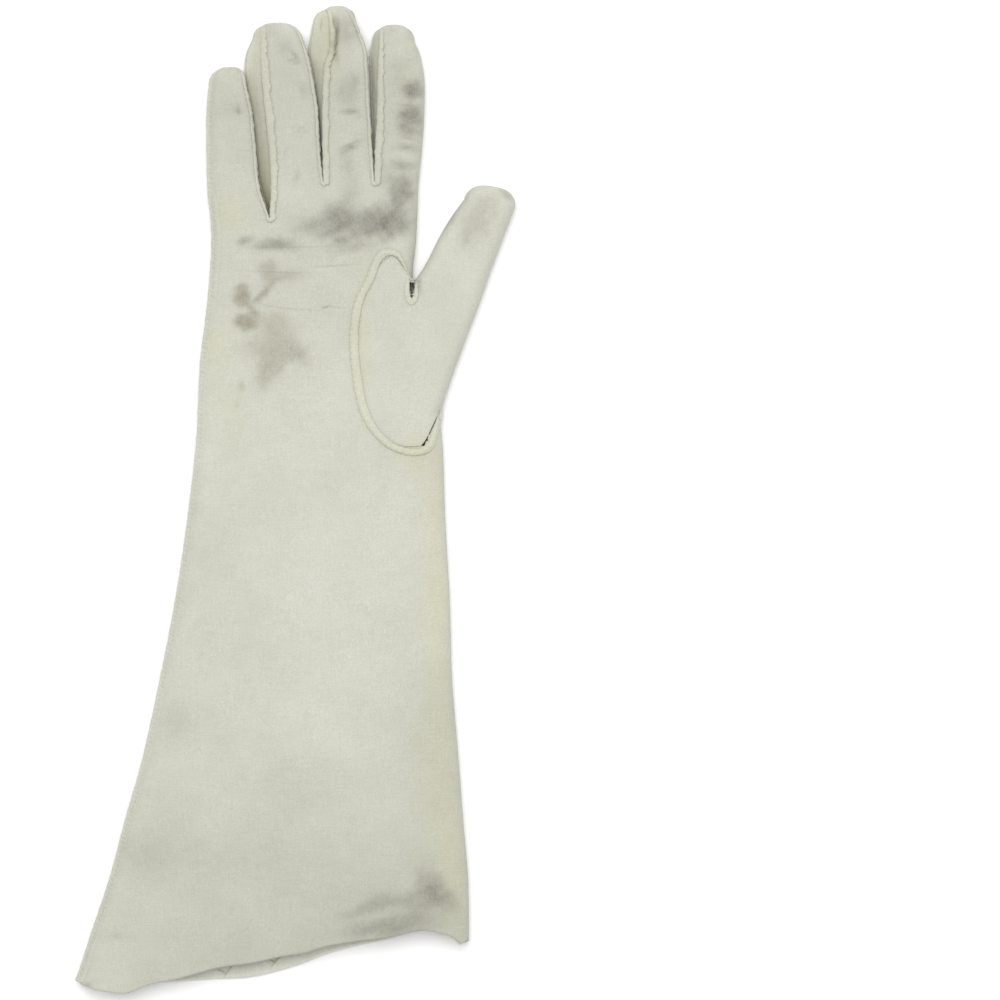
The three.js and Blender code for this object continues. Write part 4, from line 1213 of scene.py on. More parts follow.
@dataclass
class ThumbSeam:
    """The flat raised seam round the thumb's oval root, and its stitches.

    Waves hold height, pitch and seed. Spots hold the share across and the width of a dimple or groove.
    """

    hand: HandShape
    thumb: ThumbCloth
    band: SeamBand = field(default_factory=SeamBand)
    stations: int = 420
    lanes: int = 21
    lane_weight: float = 0.5
    root_rows: int = 130
    height: float = 0.95
    lift: float = 0.05
    end_reach: float = 3.0
    end_height: float = 0.35
    edge_waves: Rows = ((0.06, 9.0, 0.8), (0.04, 3.1, 2.2))
    top_wave: Wave = (0.08, 5.0, 1.9)
    dimple: float = 0.22
    dimple_spot: Pair = (0.82, 0.1)
    groove: float = 0.16
    groove_spot: Pair = (0.24, 0.07)
    thread_lanes: Pair = (0.86, 0.12)
    style: ThreadStyle = ThreadStyle(pitch=2.3, length=1.1, radius=0.15, slant=1.2)

    def surface(self) -> tuple[Array, Array]:
        """The cloth under the band.

        Returns:
            Places, stations by lanes by 3, and each lane's share of the band's width.
        """
        path, width = self.band.path(self.stations)
        share = edge_weighted(self.lanes, self.lane_weight)
        distance = path_lengths(np.pad(path, ((0, 0), (0, 1))))
        offset = (share - 0.5) * (width * waver(distance, self.edge_waves))[:, None]
        flat = path[:, None] + right_of(path)[:, None] * offset[..., None]
        x, y = flat[..., 0], flat[..., 1]
        root = self.thumb.top()[: self.root_rows : 2, ::2]
        height = np.maximum(self.hand.height(Layer.PALM, x, y), drape(x, y, root))
        return np.stack([x, y, height], axis=-1), share

    def build(self) -> tuple[Piece, Piece]:
        """Builds the band, dimpled at each stitch, and the stitches along both its edges.

        Returns:
            The band and its stitches.
        """
        surface, share = self.surface()
        distance = path_lengths(surface[:, self.lanes // 2])
        beat = np.cos(2 * np.pi * distance / self.style.pitch)
        dimple = self.dimple * np.clip(beat, 0, 1)[:, None] * ridge(share, *self.dimple_spot)
        groove = self.groove * ridge(share, *self.groove_spot)
        ends = lerp(self.end_height, 1.0, faded_ends(distance, self.end_reach))
        height, pitch, seed = self.top_wave
        wave = height * wander(distance, pitch, seed)[:, None] * pillow(share)
        heights = pillow(share) * self.height * ends - dimple - groove + wave
        top = surface + UP * (self.lift + np.clip(heights, 0.0, None)[..., None])
        strip = closed_strip("thumb_seam_band", top, surface - UP * SINK)
        paths = [stitches_along(top, lane, self.style) for lane in self.thread_lanes]
        return strip, threads("thumb_seam_stitches", np.concatenate(paths), self.style.radius)


@dataclass
class QuirkSeam:
    """The small seam that runs round the slit at the root of the thumb."""

    hand: HandShape
    thumb: ThumbCloth
    loop: Rows = (
        (45.6, 88.2, 1), (45.1, 84.5, 2), (45.5, 80.4, 2.2), (47, 78.6, 2.4), (48.5, 80.6, 2),
        (48.9, 84, 1.7), (49, 86.2, 1),
    )
    stations: int = 150
    lanes: int = 13
    height: float = 0.6
    lift: float = 0.06
    depth: float = 1.1
    end_reach: float = 1.5
    end_height: float = 0.3
    top_waves: Rows = ((0.12, 2.2, 0.7),)

    def build(self) -> Piece:
        """Builds the loop on top of the thumb's cloth.

        Returns:
            The loop.
        """
        seam = ThumbSeam(self.hand, self.thumb, SeamBand(self.loop), self.stations, self.lanes)
        surface, share = seam.surface()
        distance = path_lengths(surface[:, self.lanes // 2])
        ends = lerp(self.end_height, 1.0, faded_ends(distance, self.end_reach))
        heights = pillow(share) * self.height * ends * waver(distance, self.top_waves)[:, None]
        top = surface + UP * (self.lift + heights[..., None])
        return closed_strip("quirk_seam_band", top, surface - UP * self.depth)


@dataclass
class Gap:
    """The gap between two fingers: its two seams, its side strip and its stitches.

    Waves hold height, pitch and seed. A step is the mean distance between two stations.
    """

    hand: HandShape
    left: Finger
    right: Finger
    wide: Rows
    narrow: float = 1.3
    narrow_height: float = 0.65
    tip_angle: float = 46.0
    body: int = 150
    around: int = 8
    fan: int = 30
    step: float = 0.45
    end_steps: int = 12
    end_height: float = 0.3
    foot_steps: int = 10
    lanes: int = 13
    lane_weight: float = 0.5
    outset: float = -0.12
    outer_wave: Wave = (0.22, 5.3, 4.0)
    edge_waves: Rows = ((0.16, 9.0, 0.5), (0.09, 3.1, 2.0))
    top_waves: Rows = ((0.16, 4.2, 3.0),)
    dimple: float = 0.1
    dimple_spot: Pair = (0.8, 0.14)
    lift: float = 0.05
    palm_sink: float = 0.35
    thread_lane: float = 0.9
    back_lanes: int = 9
    back_width: float = 1.4
    back_height: float = 0.9
    back_room: float = 0.15
    back_least: float = 0.02
    strip_edge: float = 0.45
    strip_lanes: int = 12
    strip_drop: float = 0.45
    strip_rise: float = 0.75
    sag: float = 0.22
    sag_steps: int = 20
    sag_waves: Rows = ((0.8, 16.0, 1.0),)
    thickness: float = 0.7
    style: ThreadStyle = ThreadStyle(pitch=2.4, length=1.0, radius=0.13, slant=0.8)

    def __post_init__(self) -> None:
        """Finds the gap's foot, and the corners on its left and right."""
        at = FINGER_NAMES.index(self.right.name)
        self.before, self.crotch, self.after = self.hand.corners[at - 1 : at + 2]

    @property
    def name(self) -> str:
        """The names of the two fingers."""
        return f"{self.left.name}_{self.right.name}"

    def stations(self) -> tuple[Array, Array]:
        """Places and tip angles up a finger, from its foot to its seam's end near the tip."""
        return tip_stations(self.body, self.around, self.tip_angle)

    def sizes(self) -> tuple[Array, Array]:
        """Sizes of the band at each station, from the left finger's tip to the right one's.

        Returns:
            Its widths and its heights.
        """
        y = lerp(self.crotch[1], self.right.tip[1], self.stations()[0])
        turn = smooth(np.linspace(0, 1, self.fan))[1:-1]
        keys, *columns = np.array(self.wide, float).T
        sizes = []
        for narrow, column in zip((self.narrow, self.narrow_height), columns):
            wide = np.interp(y, keys, column)
            sizes.append(np.concatenate([np.full(len(y), narrow), lerp(narrow, wide[0], turn), wide]))
        return sizes[0], sizes[1]

    def surface(self, layer: Layer, reach: Array) -> Array:
        """The cloth beside the gap, from the left finger's tip round the gap's foot to the right one's.

        Round the foot the direction inwards turns like a fan about one point.

        Args:
            layer: palm or back.
            reach: distance inwards from the cloth's edge, stations by lanes.

        Returns:
            Places, stations by lanes by 3.
        """
        place, angle = self.stations()
        count = len(place)
        down, turn, up = reach[:count][::-1], reach[count:-count], reach[-count:]
        left_share = 1 - down / self.left.width(layer, place, angle)[:, None]
        left = self.left.surface(self.hand, layer, place, angle, left_share)[::-1]
        right_share = up / self.right.width(layer, place, angle)[:, None]
        right = self.right.surface(self.hand, layer, place, angle, right_share)
        x, y = self.crotch
        start = np.arctan2(self.before[1] - y, self.before[0] - x) % (2 * np.pi)
        end = np.arctan2(self.after[1] - y, self.after[0] - x) + 2 * np.pi
        heading = np.linspace(start, end, self.fan)[1:-1, None]
        fan_x, fan_y = x + turn * np.cos(heading), y + turn * np.sin(heading)
        fan = np.stack([fan_x, fan_y, self.hand.height(layer, fan_x, fan_y)], axis=-1)
        return np.concatenate([left, fan, right])

    def palm_seam(self) -> tuple[Piece, Array]:
        """Builds the raised seam of the palm side.

        Returns:
            The seam, and the paths of its stitches.
        """
        width, height = self.sizes()
        share = edge_weighted(self.lanes, self.lane_weight)
        steps = np.arange(len(width))
        along = steps * self.step
        ends = faded_ends(steps, self.end_steps)
        from_foot = np.abs(steps - (len(steps) - 1) / 2) - self.fan / 2
        wave, pitch, seed = self.outer_wave
        outer = self.outset + wave * wander(along, pitch, seed)
        outer = outer * smooth(from_foot / self.foot_steps) * ends[:, 0]
        reach = outer[:, None] + share * (width * waver(along, self.edge_waves) - outer)[:, None]
        surface = self.surface(Layer.PALM, reach)
        distance = path_lengths(surface[:, self.lanes // 2])
        beat = np.clip(np.cos(2 * np.pi * distance / self.style.pitch), 0, 1)[:, None]
        heights = pillow(share) * height[:, None] * lerp(self.end_height, 1.0, ends)
        heights = heights - self.dimple * beat * ridge(share, *self.dimple_spot)
        heights = heights * waver(distance, self.top_waves)[:, None]
        top = surface + UP * (self.lift + np.clip(heights, 0, None)[..., None])
        strip = closed_strip(f"palm_seam_band_{self.name}", top, surface - UP * self.palm_sink)
        return strip, stitches_along(top, self.thread_lane, self.style)

    def back_seam(self) -> Piece:
        """Builds the plainer seam of the hidden back, as high as the room over the floor lets it be.

        Returns:
            The seam.
        """
        steps = np.arange(len(self.sizes()[0]))
        share = edge_weighted(self.back_lanes, self.lane_weight)
        surface = self.surface(Layer.BACK, share * np.full((len(steps), 1), self.back_width))
        room = np.minimum(self.back_height, surface[..., 2] - self.back_room).clip(self.back_least)
        under = surface - UP * (pillow(share) * room * faded_ends(steps, self.end_steps))[..., None]
        return closed_strip(f"back_seam_band_{self.name}", under, surface + UP * SINK)

    def fourchette(self) -> Piece:
        """Builds the strip between the palm's edge and the back's edge, all round the gap.

        Returns:
            The strip.
        """
        steps = np.arange(len(self.sizes()[0]))
        edge = np.full((len(steps), 1), self.strip_edge)
        upper = self.surface(Layer.PALM, edge)[:, 0] - UP * self.strip_drop
        lower = self.surface(Layer.BACK, edge)[:, 0] + UP * self.strip_rise
        share = np.linspace(0, 1, self.strip_lanes)[None, :, None]
        from_foot = np.abs(steps - (len(steps) - 1) / 2) - self.fan
        sag = self.sag * smooth(from_foot / self.sag_steps) * waver(steps * self.step, self.sag_waves)
        grid = lerp(lower[:, None], upper[:, None], share)
        grid = grid + left_of(upper)[:, None] * sag[:, None, None] * np.sin(np.pi * share)
        return Sheet().add(grid).build(f"fourchette_cloth_{self.name}", self.thickness)


@dataclass
class SideSeam:
    """The whip-stitched seam down the little-finger side, from the fingertip to the mouth.

    Rows of its band hold y and the width on the palm. Its folded edge stands out as a fin. Beats
    are the shares by which the fin shrinks at each stitch, and its wave holds height, pitch and seed.
    """

    hand: HandShape
    little: Finger
    band: Rows = (
        (-194, 1.9), (-181, 1.9), (-172, 1.3), (66, 1.3), (78, 1.5), (88, 2), (100, 2.2), (116, 2),
        (124, 1.4), (132, 1.2), (173, 0.9),
    )
    palm_shares: tuple[float, ...] = (1.0, 0.93, 0.8, 0.62, 0.45, 0.3, 0.17)
    back_reach: tuple[float, ...] = (0.15, 0.45, 0.8, 1.1)
    back_profile: tuple[float, ...] = (0.3, 0.3, 0.22, 0.05)
    fin_turns: tuple[float, ...] = (75, 50, 25, 0, -25, -50, -75)
    fin: float = 1.8
    fin_base: float = 0.15
    fin_beat: float = 0.1
    fin_wave: Wave = (0.05, 6.0, 0.3)
    half_fin: float = 0.83
    half_beat: float = 0.14
    half_end: float = 0.35
    root_swell: float = 0.35
    root_sink: float = 0.35
    root_share: float = 0.3
    palm_lift: float = 0.03
    palm_raise: float = 0.35
    raise_from: float = 1.35
    raise_over: float = 0.6
    palm_edge: float = 0.05
    palm_end: float = 0.3
    palm_round: float = 0.3
    pitch: float = 1.9
    thread_radius: float = 0.15
    thread_arch: float = 0.06
    thread_lanes: tuple[int, int] = (3, 16)
    thread_slant: float = 1.1
    hand_stations: int = 620
    finger_stations: int = 120
    tip_stations: int = 16
    tip_angle: float = 80.0
    fade_angle: float = 75.0

    def edge_surface(self, layer: Layer, reach: Array) -> Array:
        """The cloth beside the seam, at a distance in from its edge.

        Args:
            layer: palm or back.
            reach: distance inwards, stations by lanes.

        Returns:
            Places, stations by lanes by 3.
        """
        rim = self.hand.mouth_line(Layer.PALM, 0.0)
        y = np.linspace(rim, self.hand.corners[0][1], self.hand_stations)[:-1, None]
        x = self.hand.edge(y) + reach[: len(y)]
        y = np.broadcast_to(y, x.shape)
        lower = np.stack([x, y, self.hand.height(layer, x, y)], axis=-1)
        place, angle = tip_stations(self.finger_stations, self.tip_stations, self.tip_angle)
        share = reach[len(y) :] / self.little.width(layer, place, angle)[:, None]
        upper = self.little.surface(self.hand, layer, place, angle, share)
        return np.concatenate([lower, upper])

    def build(self) -> tuple[Piece, Piece]:
        """Builds the folded edge and the stitches that pass over it.

        The edge stands out of the cloth as a fin with a round rim, which shrinks a little at each
        stitch and fades round the fingertip.

        Returns:
            The edge and its stitches.
        """
        count = self.hand_stations - 1 + self.finger_stations + self.tip_stations
        edge = self.edge_surface(Layer.PALM, np.zeros((count, 1)))[:, 0]
        distance = path_lengths(edge)
        out = left_of(edge)
        out /= np.linalg.norm(out, axis=1, keepdims=True)
        keys, widths = np.array(self.band, float).T
        width = np.interp(edge[:, 1], keys, widths)
        past = np.zeros(count)
        past[-self.tip_stations :] = np.linspace(0, self.tip_angle, self.tip_stations + 1)[1:]
        fade = 1 - smooth(past / self.fade_angle)
        beat = 0.5 + 0.5 * np.cos(2 * np.pi * distance / self.pitch)
        wave, pitch, seed = self.fin_wave
        reach = 1 - self.fin_beat * beat + wave * wander(distance, pitch, seed)
        reach = (self.fin_base + self.fin * fade) * reach
        half = (self.half_fin * (1 - self.half_beat * beat) * lerp(self.half_end, 1.0, fade))[:, None]
        turn = np.radians(self.fin_turns)
        root = 1 + self.root_swell * (1 - np.cos(turn))
        fin = edge[:, None] + out[:, None] * (reach[:, None] * np.cos(turn))[..., None]
        fin = fin + UP * (half * np.sin(turn) * root)[..., None]
        sunk = UP * (half * self.root_share * np.sin(turn))[..., None]
        sunk = edge[:, None] - out[:, None] * self.root_sink + sunk

        share = np.array(self.palm_shares)
        palm_reach = width[:, None] * share**2
        palm = self.edge_surface(Layer.PALM, palm_reach)
        palm_away = self._away(out, palm_reach, 1.0)
        raised = self.palm_lift + self.palm_raise * smooth((width - self.raise_from) / self.raise_over)
        raised = (raised * lerp(self.palm_end, 1.0, fade))[:, None]
        profile = self.palm_edge + raised * rounded((1 - share) / self.palm_round)
        palm_top = palm + palm_away * profile[..., None]
        down = (width[:, None] - palm_reach) / (width + reach * np.cos(turn[0]))[:, None]
        fillet = lerp(palm[:, :1, 2], fin[:, :1, 2], down)
        palm_top[..., 2] = np.maximum(palm_top[..., 2], fillet)

        back_reach = np.ones((count, 1)) * self.back_reach
        back = self.edge_surface(Layer.BACK, back_reach)
        back_away = self._away(out, back_reach, -1.0)
        back_top = back + back_away * np.array(self.back_profile)[:, None]
        top = np.concatenate([palm_top, fin, back_top], axis=1)
        bottom = np.concatenate([palm - palm_away * SINK, sunk, back - back_away * SINK], axis=1)
        return closed_strip("side_seam_band", top, bottom), self._stitches(top, distance)

    def _stitches(self, top: Array, distance: Array) -> Piece:
        """Slanting stitches over the fin, from the palm to the back.

        Args:
            top: outer side of the seam, stations by lanes by 3.
            distance: distance of each station along the edge.

        Returns:
            The stitches.
        """
        over = top[:, slice(*self.thread_lanes)]
        grid = over + grid_normals(over[:, ::-1])[:, ::-1] * self.thread_arch
        starts = np.arange(1.2, distance[-1] - 1.5, self.pitch)
        starts = starts[starts < distance[-20]]
        starts = starts + 0.16 * wander(starts, 5.0, 2.0)
        slant = np.linspace(0.0, self.thread_slant, grid.shape[1])
        at = np.interp(starts[:, None] + slant, distance, np.arange(len(distance)))
        paths = read_rows(grid, at, np.arange(grid.shape[1]))
        return threads("side_seam_stitches", paths, self.thread_radius)

    def _away(self, out: Array, reach: Array, side: float) -> Array:
        """Directions out of the cloth near its edge, turning from sideways to up or down."""
        share = np.clip(reach / self.hand.round_width, 0, 1)
        return out[:, None] * (1 - share)[..., None] + UP * (side * rounded(share))[..., None]


# Finishes


class Soil(Enum):
    """The kinds of wear that the palm shows, and of painted shade: some grey ovals and all the creases are
    painted shade.
    """

    GREY = "Grey"
    WARM = "Warm"
    YELLOW = "Yellow"
    DULL = "Dull"
    CREASE = "Crease"


# Ovals of each kind: x, y, half sizes, strength, turn, sharpness.
PATCHES: dict[Soil, Rows] = {
    Soil.GREY: (
        (26, 109.6, 20, 6.4, 0.34, 3, 1.6), (6, 109.4, 6.6, 4.4, 0.24, 8, 1.4),
        (18.4, 112.4, 7.2, 7.4, 0.42, -20, 1.5), (22, 100.6, 9, 2.6, 0.24, 4, 1.3),
        (-1.4, 100.2, 5, 1.8, 0.22, 0, 1.2), (22.4, 123, 4, 9, 0.16), (38.8, 124, 4.6, 10, 0.18),
        (36.4, 110.8, 10, 6.6, 0.5, 6, 1.5), (36.2, 109.4, 4.4, 2.6, 0.22, -12),
        (42.6, 120.2, 4.6, 5.6, 0.45, -24, 1.4), (18.2, 103.4, 3.6, 1.4, 0.41, 4),
        (12.6, 105.4, 3.4, 1.6, 0.14), (46.4, 153.4, 4.8, 3.8, 0.58, -6, 1.5), (45, 150, 6, 6, 0.12),
        (45.4, 147.8, 5, 2.4, 0.43, -20, 1.4), (45.2, 140.4, 3.9, 1.4, 0.41, -8),
        (43.6, 133.5, 4.6, 1.8, 0.4, -2, 1.3), (43.4, 126, 5.4, 5, 0.36, -10, 1.3),
        (47.2, 163.2, 3.5, 3.2, 0.62, 0, 1.4), (45, 163.2, 5.4, 5, 0.2), (41.4, 170.8, 5, 6, 0.16),
        (22, 163, 4.4, 6, 0.24), (24.6, 167, 1.6, 2.2, 0.22), (18.8, 163, 0.6, 1.6, 0.4),
        (22.6, 154.4, 3.8, 0.8, 0.42, -9), (24, 154.8, 2, 1.2, 0.2, -20), (22.4, 140.6, 4.2, 1.1, 0.42, 22),
        (20.4, 138.4, 2.2, 1.4, 0.26, 30), (21, 133.4, 3.2, 3.4, 0.24, 20), (20.6, 187.2, 4.2, 6.4, 0.28),
        # The next row and the first oval of the row after it are painted shadow cast by the middle finger's
        # raised seam onto the cloth to its right.
        (17, 186, 1, 6, 0.55, -6, 1.3), (15.9, 190.8, 0.9, 2.4, 0.36, -10, 1.2),
        (16.4, 178.4, 1.2, 4.2, 0.34, 14, 1.2), (-9.8, 187.4, 5, 3, 0.14), (38.4, 187.4, 4, 3, 0.14),
        (24, 185, 2.6, 2.6, 0.14), (-4, 180.4, 2.6, 2.8, 0.16), (0.2, 177.4, 2.3, 0.7, 0.44, -50),
        (-0.8, 175.2, 1.8, 0.8, 0.3, -20), (1.2, 174.6, 1.4, 0.9, 0.24), (0.8, 128.6, 1.4, 2.6, 0.2, -20),
        (3.8, 163.2, 2, 2.6, 0.14), (3, 147.2, 2.6, 0.9, 0.2, 12), (-24, 156.6, 6, 4, 0.16),
        (-22.3, 154.9, 1.1, 1.5, 0.42), (-8.2, 101.9, 8.6, 2.4, 0.37, 4, 1.5), (-6, 102.4, 3.4, 1.8, 0.2),
        (-13, 100.4, 2.8, 1, 0.24), (-19.8, 103.4, 3.3, 1.7, 0.4, 16, 1.3), (84.8, 121.6, 3, 1.3, 0.3, -40),
        # The last oval of the next row is painted shade on the cloth right of the slit at the thumb's root.
        (61.2, 111, 15, 1.7, 0.32, 54), (72.6, 109, 6, 11, 0.13, -32), (49.9, 85.6, 1.3, 3.4, 0.36, 4),
        # The next three rows are painted shade: the dent low on the cuff and the soft line along the edge of
        # the turned-in hem.
        (53.8, -153.6, 6.4, 5.4, 0.36, -30, 1.6), (60, -160, 6, 5, 0.36, -30, 1.6),
        (50, -161.4, 9, 6, 0.36, 10, 1.6), (36, -161, 10, 3, 0.26, 8, 1.4),
        (26, -164.8, 10, 2.2, 0.26, 14, 1.3), (38, -170.8, 20, 4, 0.4, 6, 1.5), (-72, -174.6, 8, 1.4, 0.12),
        # The first two ovals of the next row are painted shade in two soft dents of the cuff.
        (-46.6, -91, 6, 8, 0.12), (-58.6, -141.6, 7, 7, 0.1), (-82.4, -193.8, 1.6, 0.9, 0.45, 10),
        (-41, -4, 3, 3, 0.1),
    ),
    Soil.WARM: (
        (-20.8, 81.4, 3.9, 4.7, 0.52, 12, 2.6), (-12.7, 81.9, 6.6, 1.7, 0.46, 46, 1.3),
        (-10.6, 91.2, 3.9, 4.3, 0.3, 0, 1.8), (-2, 89.3, 6.4, 2.2, 0.2, -3, 1.5),
        (-7, 87.4, 5.4, 1.6, 0.22, 20), (-20, 70.6, 4.9, 3.3, 0.56, -6, 2.2), (-20.4, 70.4, 2.4, 1, 0.18),
        (-16.6, 75, 3.4, 1.6, 0.46, -42, 1.4), (-8.4, 69.4, 8.6, 5.6, 0.26, -12, 1.8),
        (-5, 59.6, 11.4, 5.8, 0.33, -6, 1.9), (2.6, 56.4, 5, 2.6, 0.14, -34, 1.4),
        (-10.2, 51.2, 5.4, 5.6, 0.35, 24, 1.8), (-12.4, 45.4, 2, 3, 0.18, -12),
        (-21.2, 45, 1.7, 1.9, 0.24, 0, 1.4), (-22.4, 38, 1.1, 1.6, 0.14), (-19, 61, 4.6, 4.6, 0.14),
        (74, 114, 6, 10, 0.17, -32, 1.4), (68.6, 103.4, 1.5, 3.2, 0.16, -10),
    ),
    Soil.YELLOW: (
        (57, -40, 5, 26, 0.6), (56, -2, 5, 16, 0.45), (58, -110, 10, 46, 0.4), (64, -150, 5, 22, 0.42),
        (50, 18, 8, 8, 0.5), (-33, 62, 8, 11, 0.34), (-26, 36, 9, 14, 0.22), (-26, 114, 8, 10, 0.3),
        (15, 182, 4, 12, 0.4), (27, 60, 4, 30, 0.3), (44, 168, 5, 8, 0.22),
    ),
    Soil.DULL: (
        (6, 158, 70, 34, 0.26, 0, 1.5), (2, 88, 44, 36, 0.15), (16, -182, 84, 34, 0.36, 4, 1.2),
        (-52, -144, 34, 13, 0.15), (8, -116, 28, 14, 0.17), (12, -142, 50, 16, 0.16),
        (60, -108, 18, 44, 0.24), (-64, -124, 24, 60, 0.14), (-8, -118, 12, 34, 0.06),
        (-32, -40, 14, 34, 0.06),
    ),
    # Crease lines: cut in by the bump, and darkened in colour along them as painted shade.
    Soil.CREASE: (
        (16, 93.2, 8, 0.36, 0.5, 3), (-5.6, 90.5, 9.6, 0.34, 0.46, -2), (-6.6, 76.6, 8.4, 0.36, 0.42, -8),
        (5.4, 75.6, 6, 0.36, 0.42, -4), (12.6, 76.6, 1.7, 0.45, 1, 14), (17.6, 76.4, 4.6, 0.34, 0.3, -6),
        (4, 100.6, 18, 0.36, 0.32, 1), (45.6, 157.2, 4.4, 0.6, 0.6, -3), (45.6, 144, 4, 0.6, 0.4, -16),
        (22.8, 142, 4, 0.45, 0.6, 22), (10.4, 189.4, 0.5, 2.6, 1, -10),
    ),
}
# Tints of each kind. The grey tint also darkens the ovals of painted shade, and the crease tint is painted
# shade.
TINTS: dict[Soil, Colour] = {
    Soil.GREY: (0.335, 0.312, 0.312),
    Soil.WARM: (0.42, 0.36, 0.265),
    Soil.YELLOW: (0.985, 0.965, 0.78),
    Soil.DULL: (0.50, 0.50, 0.46),
    Soil.CREASE: (0.76, 0.75, 0.72),
}
MOTTLE_TINT: Colour = (0.91, 0.905, 0.88)
STREAK_TINT: Colour = (0.945, 0.945, 0.94)
GRAIN_TINT: Colour = (0.87, 0.87, 0.86)
# Colour of the painted shade in creases and beside seams, where the cloth is shut in.
CREASE_SHADE_TINT: Colour = (0.50, 0.48, 0.40)
# Painted shade: the gussets darken to this tint towards the foot of each gap between the fingers.
GAP_FOOT_SHADE_TINT: Colour = (0.60, 0.60, 0.47)
# Scale for each metre, detail and roughness of the noises that make fuzz, softness and puckers.
BUMP_NOISES = ((900.0, 3.0, 0.65), (150.0, 2.0, 0.5), (420.0, 2.0, 0.6))
# Distances up the hand, in metres, over which the gussets' painted shade fades out.
FOOT_SHADE_SPAN = (0.114, 0.148)
UPPER_SPAN = (0.0032, 0.0052)
ORIGIN = (0.0, 0.0, 0.0)


def wear_and_shade_at(points: Array) -> dict[Soil, Array]:
    """Masks of the soft kinds of wear and painted shade at places on the glove.

    Each patch has its own turned and stretched frame, and the masks add up as one less the
    product of what each patch leaves clear. Edges wander with sines.

    Args:
        points: places in millimetres, n by 3.

    Returns:
        One mask for each kind but the creases, n long.
    """
    x, y = points[:, 0], points[:, 1]
    shift_x = 0.8 * np.sin(0.61 * x + 0.37 * y + 0.6) + 0.6 * np.sin(1.17 * y - 0.83 * x + 1.9)
    shift_y = 0.8 * np.sin(0.52 * y - 0.44 * x + 2.2) + 0.5 * np.sin(1.31 * x + 0.96 * y + 0.4)
    masks = {}
    for kind in (Soil.GREY, Soil.WARM, Soil.YELLOW, Soil.DULL):
        clear = np.ones(len(points))
        for patch in (Oval(*row) for row in PATCHES[kind]):
            part = min(1.0, 0.16 * min(patch.reach_x, patch.reach_y))
            clear *= 1 - patch.at(x + part * shift_x, y + part * shift_y)
        masks[kind] = 1 - clear
    return masks


def mark_wear_and_shade(made: Piece) -> None:
    """Stores the masks of wear and painted shade on a piece's points: three in one attribute, and the
    dullness.

    Args:
        made: the piece.
    """
    mesh = made.data
    places = np.empty(3 * len(mesh.vertices), np.float32)
    mesh.vertices.foreach_get("co", places)
    masks = wear_and_shade_at(places.reshape(-1, 3).astype(float) / MM)
    stains_and_shade = np.stack([masks[kind] for kind in (Soil.GREY, Soil.WARM, Soil.YELLOW)], axis=-1)
    layer = mesh.attributes.new("wear_and_shade", "FLOAT_VECTOR", "POINT")
    layer.data.foreach_set("vector", stains_and_shade.astype(np.float32).ravel())
    layer = mesh.attributes.new("dullness", "FLOAT", "POINT")
    layer.data.foreach_set("value", masks[Soil.DULL].astype(np.float32))


@dataclass
class Graph:
    """Adds nodes to a tree and links them."""

    tree: bpy.types.NodeTree

    def feed(self, socket: Socket, value: Socket | float | tuple[float, ...]) -> None:
        """Links a socket to another, or sets its constant.

        Args:
            socket: the input.
            value: the output that it is linked to, or its constant.
        """
        if isinstance(value, bpy.types.NodeSocket):
            self.tree.links.new(value, socket)
        else:
            socket.default_value = value

    def node(self, kind: str, named: dict[str | int, object] | None = None, **settings: object) -> Node:
        """Adds a node.

        Args:
            kind: the node's type.
            named: values or links of its inputs by name or number.
            settings: its own options.

        Returns:
            The node.
        """
        made = self.tree.nodes.new(kind)
        for option, value in settings.items():
            setattr(made, option, value)
        for title, value in (named or {}).items():
            self.feed(made.inputs[title], value)
        return made

    def math(self, operation: str, *values: Socket | float) -> Socket:
        """The result of a sum on numbers."""
        return self.node("ShaderNodeMath", dict(enumerate(values)), operation=operation).outputs[0]

    def vector(self, operation: str, *values: Socket | tuple[float, ...]) -> Node:
        """A node that works on vectors."""
        return self.node("ShaderNodeVectorMath", dict(enumerate(values)), operation=operation)

    def apart(self, vector: Socket) -> list[Socket]:
        """The three numbers of a vector."""
        return list(self.node("ShaderNodeSeparateXYZ", {"Vector": vector}).outputs)

    def noise(self, place: Socket, scale: Socket | float, detail: float = 2.0, rough: float = 0.5) -> Socket:
        """A noise texture's value at a scale for each metre."""
        named = {"Vector": place, "Scale": scale, "Detail": detail, "Roughness": rough}
        return self.node("ShaderNodeTexNoise", named).outputs[0]

    def span(self, value: Socket, low: float, high: float, to_low: float, to_high: float) -> Socket:
        """A number moved from one range to another and held there."""
        named = {"Value": value, "From Min": low, "From Max": high, "To Min": to_low, "To Max": to_high}
        return self.node("ShaderNodeMapRange", named, clamp=True).outputs[0]

    def tint(self, colour: Socket, tinted: Colour, mask: Socket) -> Socket:
        """A colour multiplied by a tint where a mask is 1."""
        named = {0: mask, 6: colour, 7: (*tinted, 1.0)}
        return self.node("ShaderNodeMix", named, data_type="RGBA", blend_type="MULTIPLY").outputs[2]


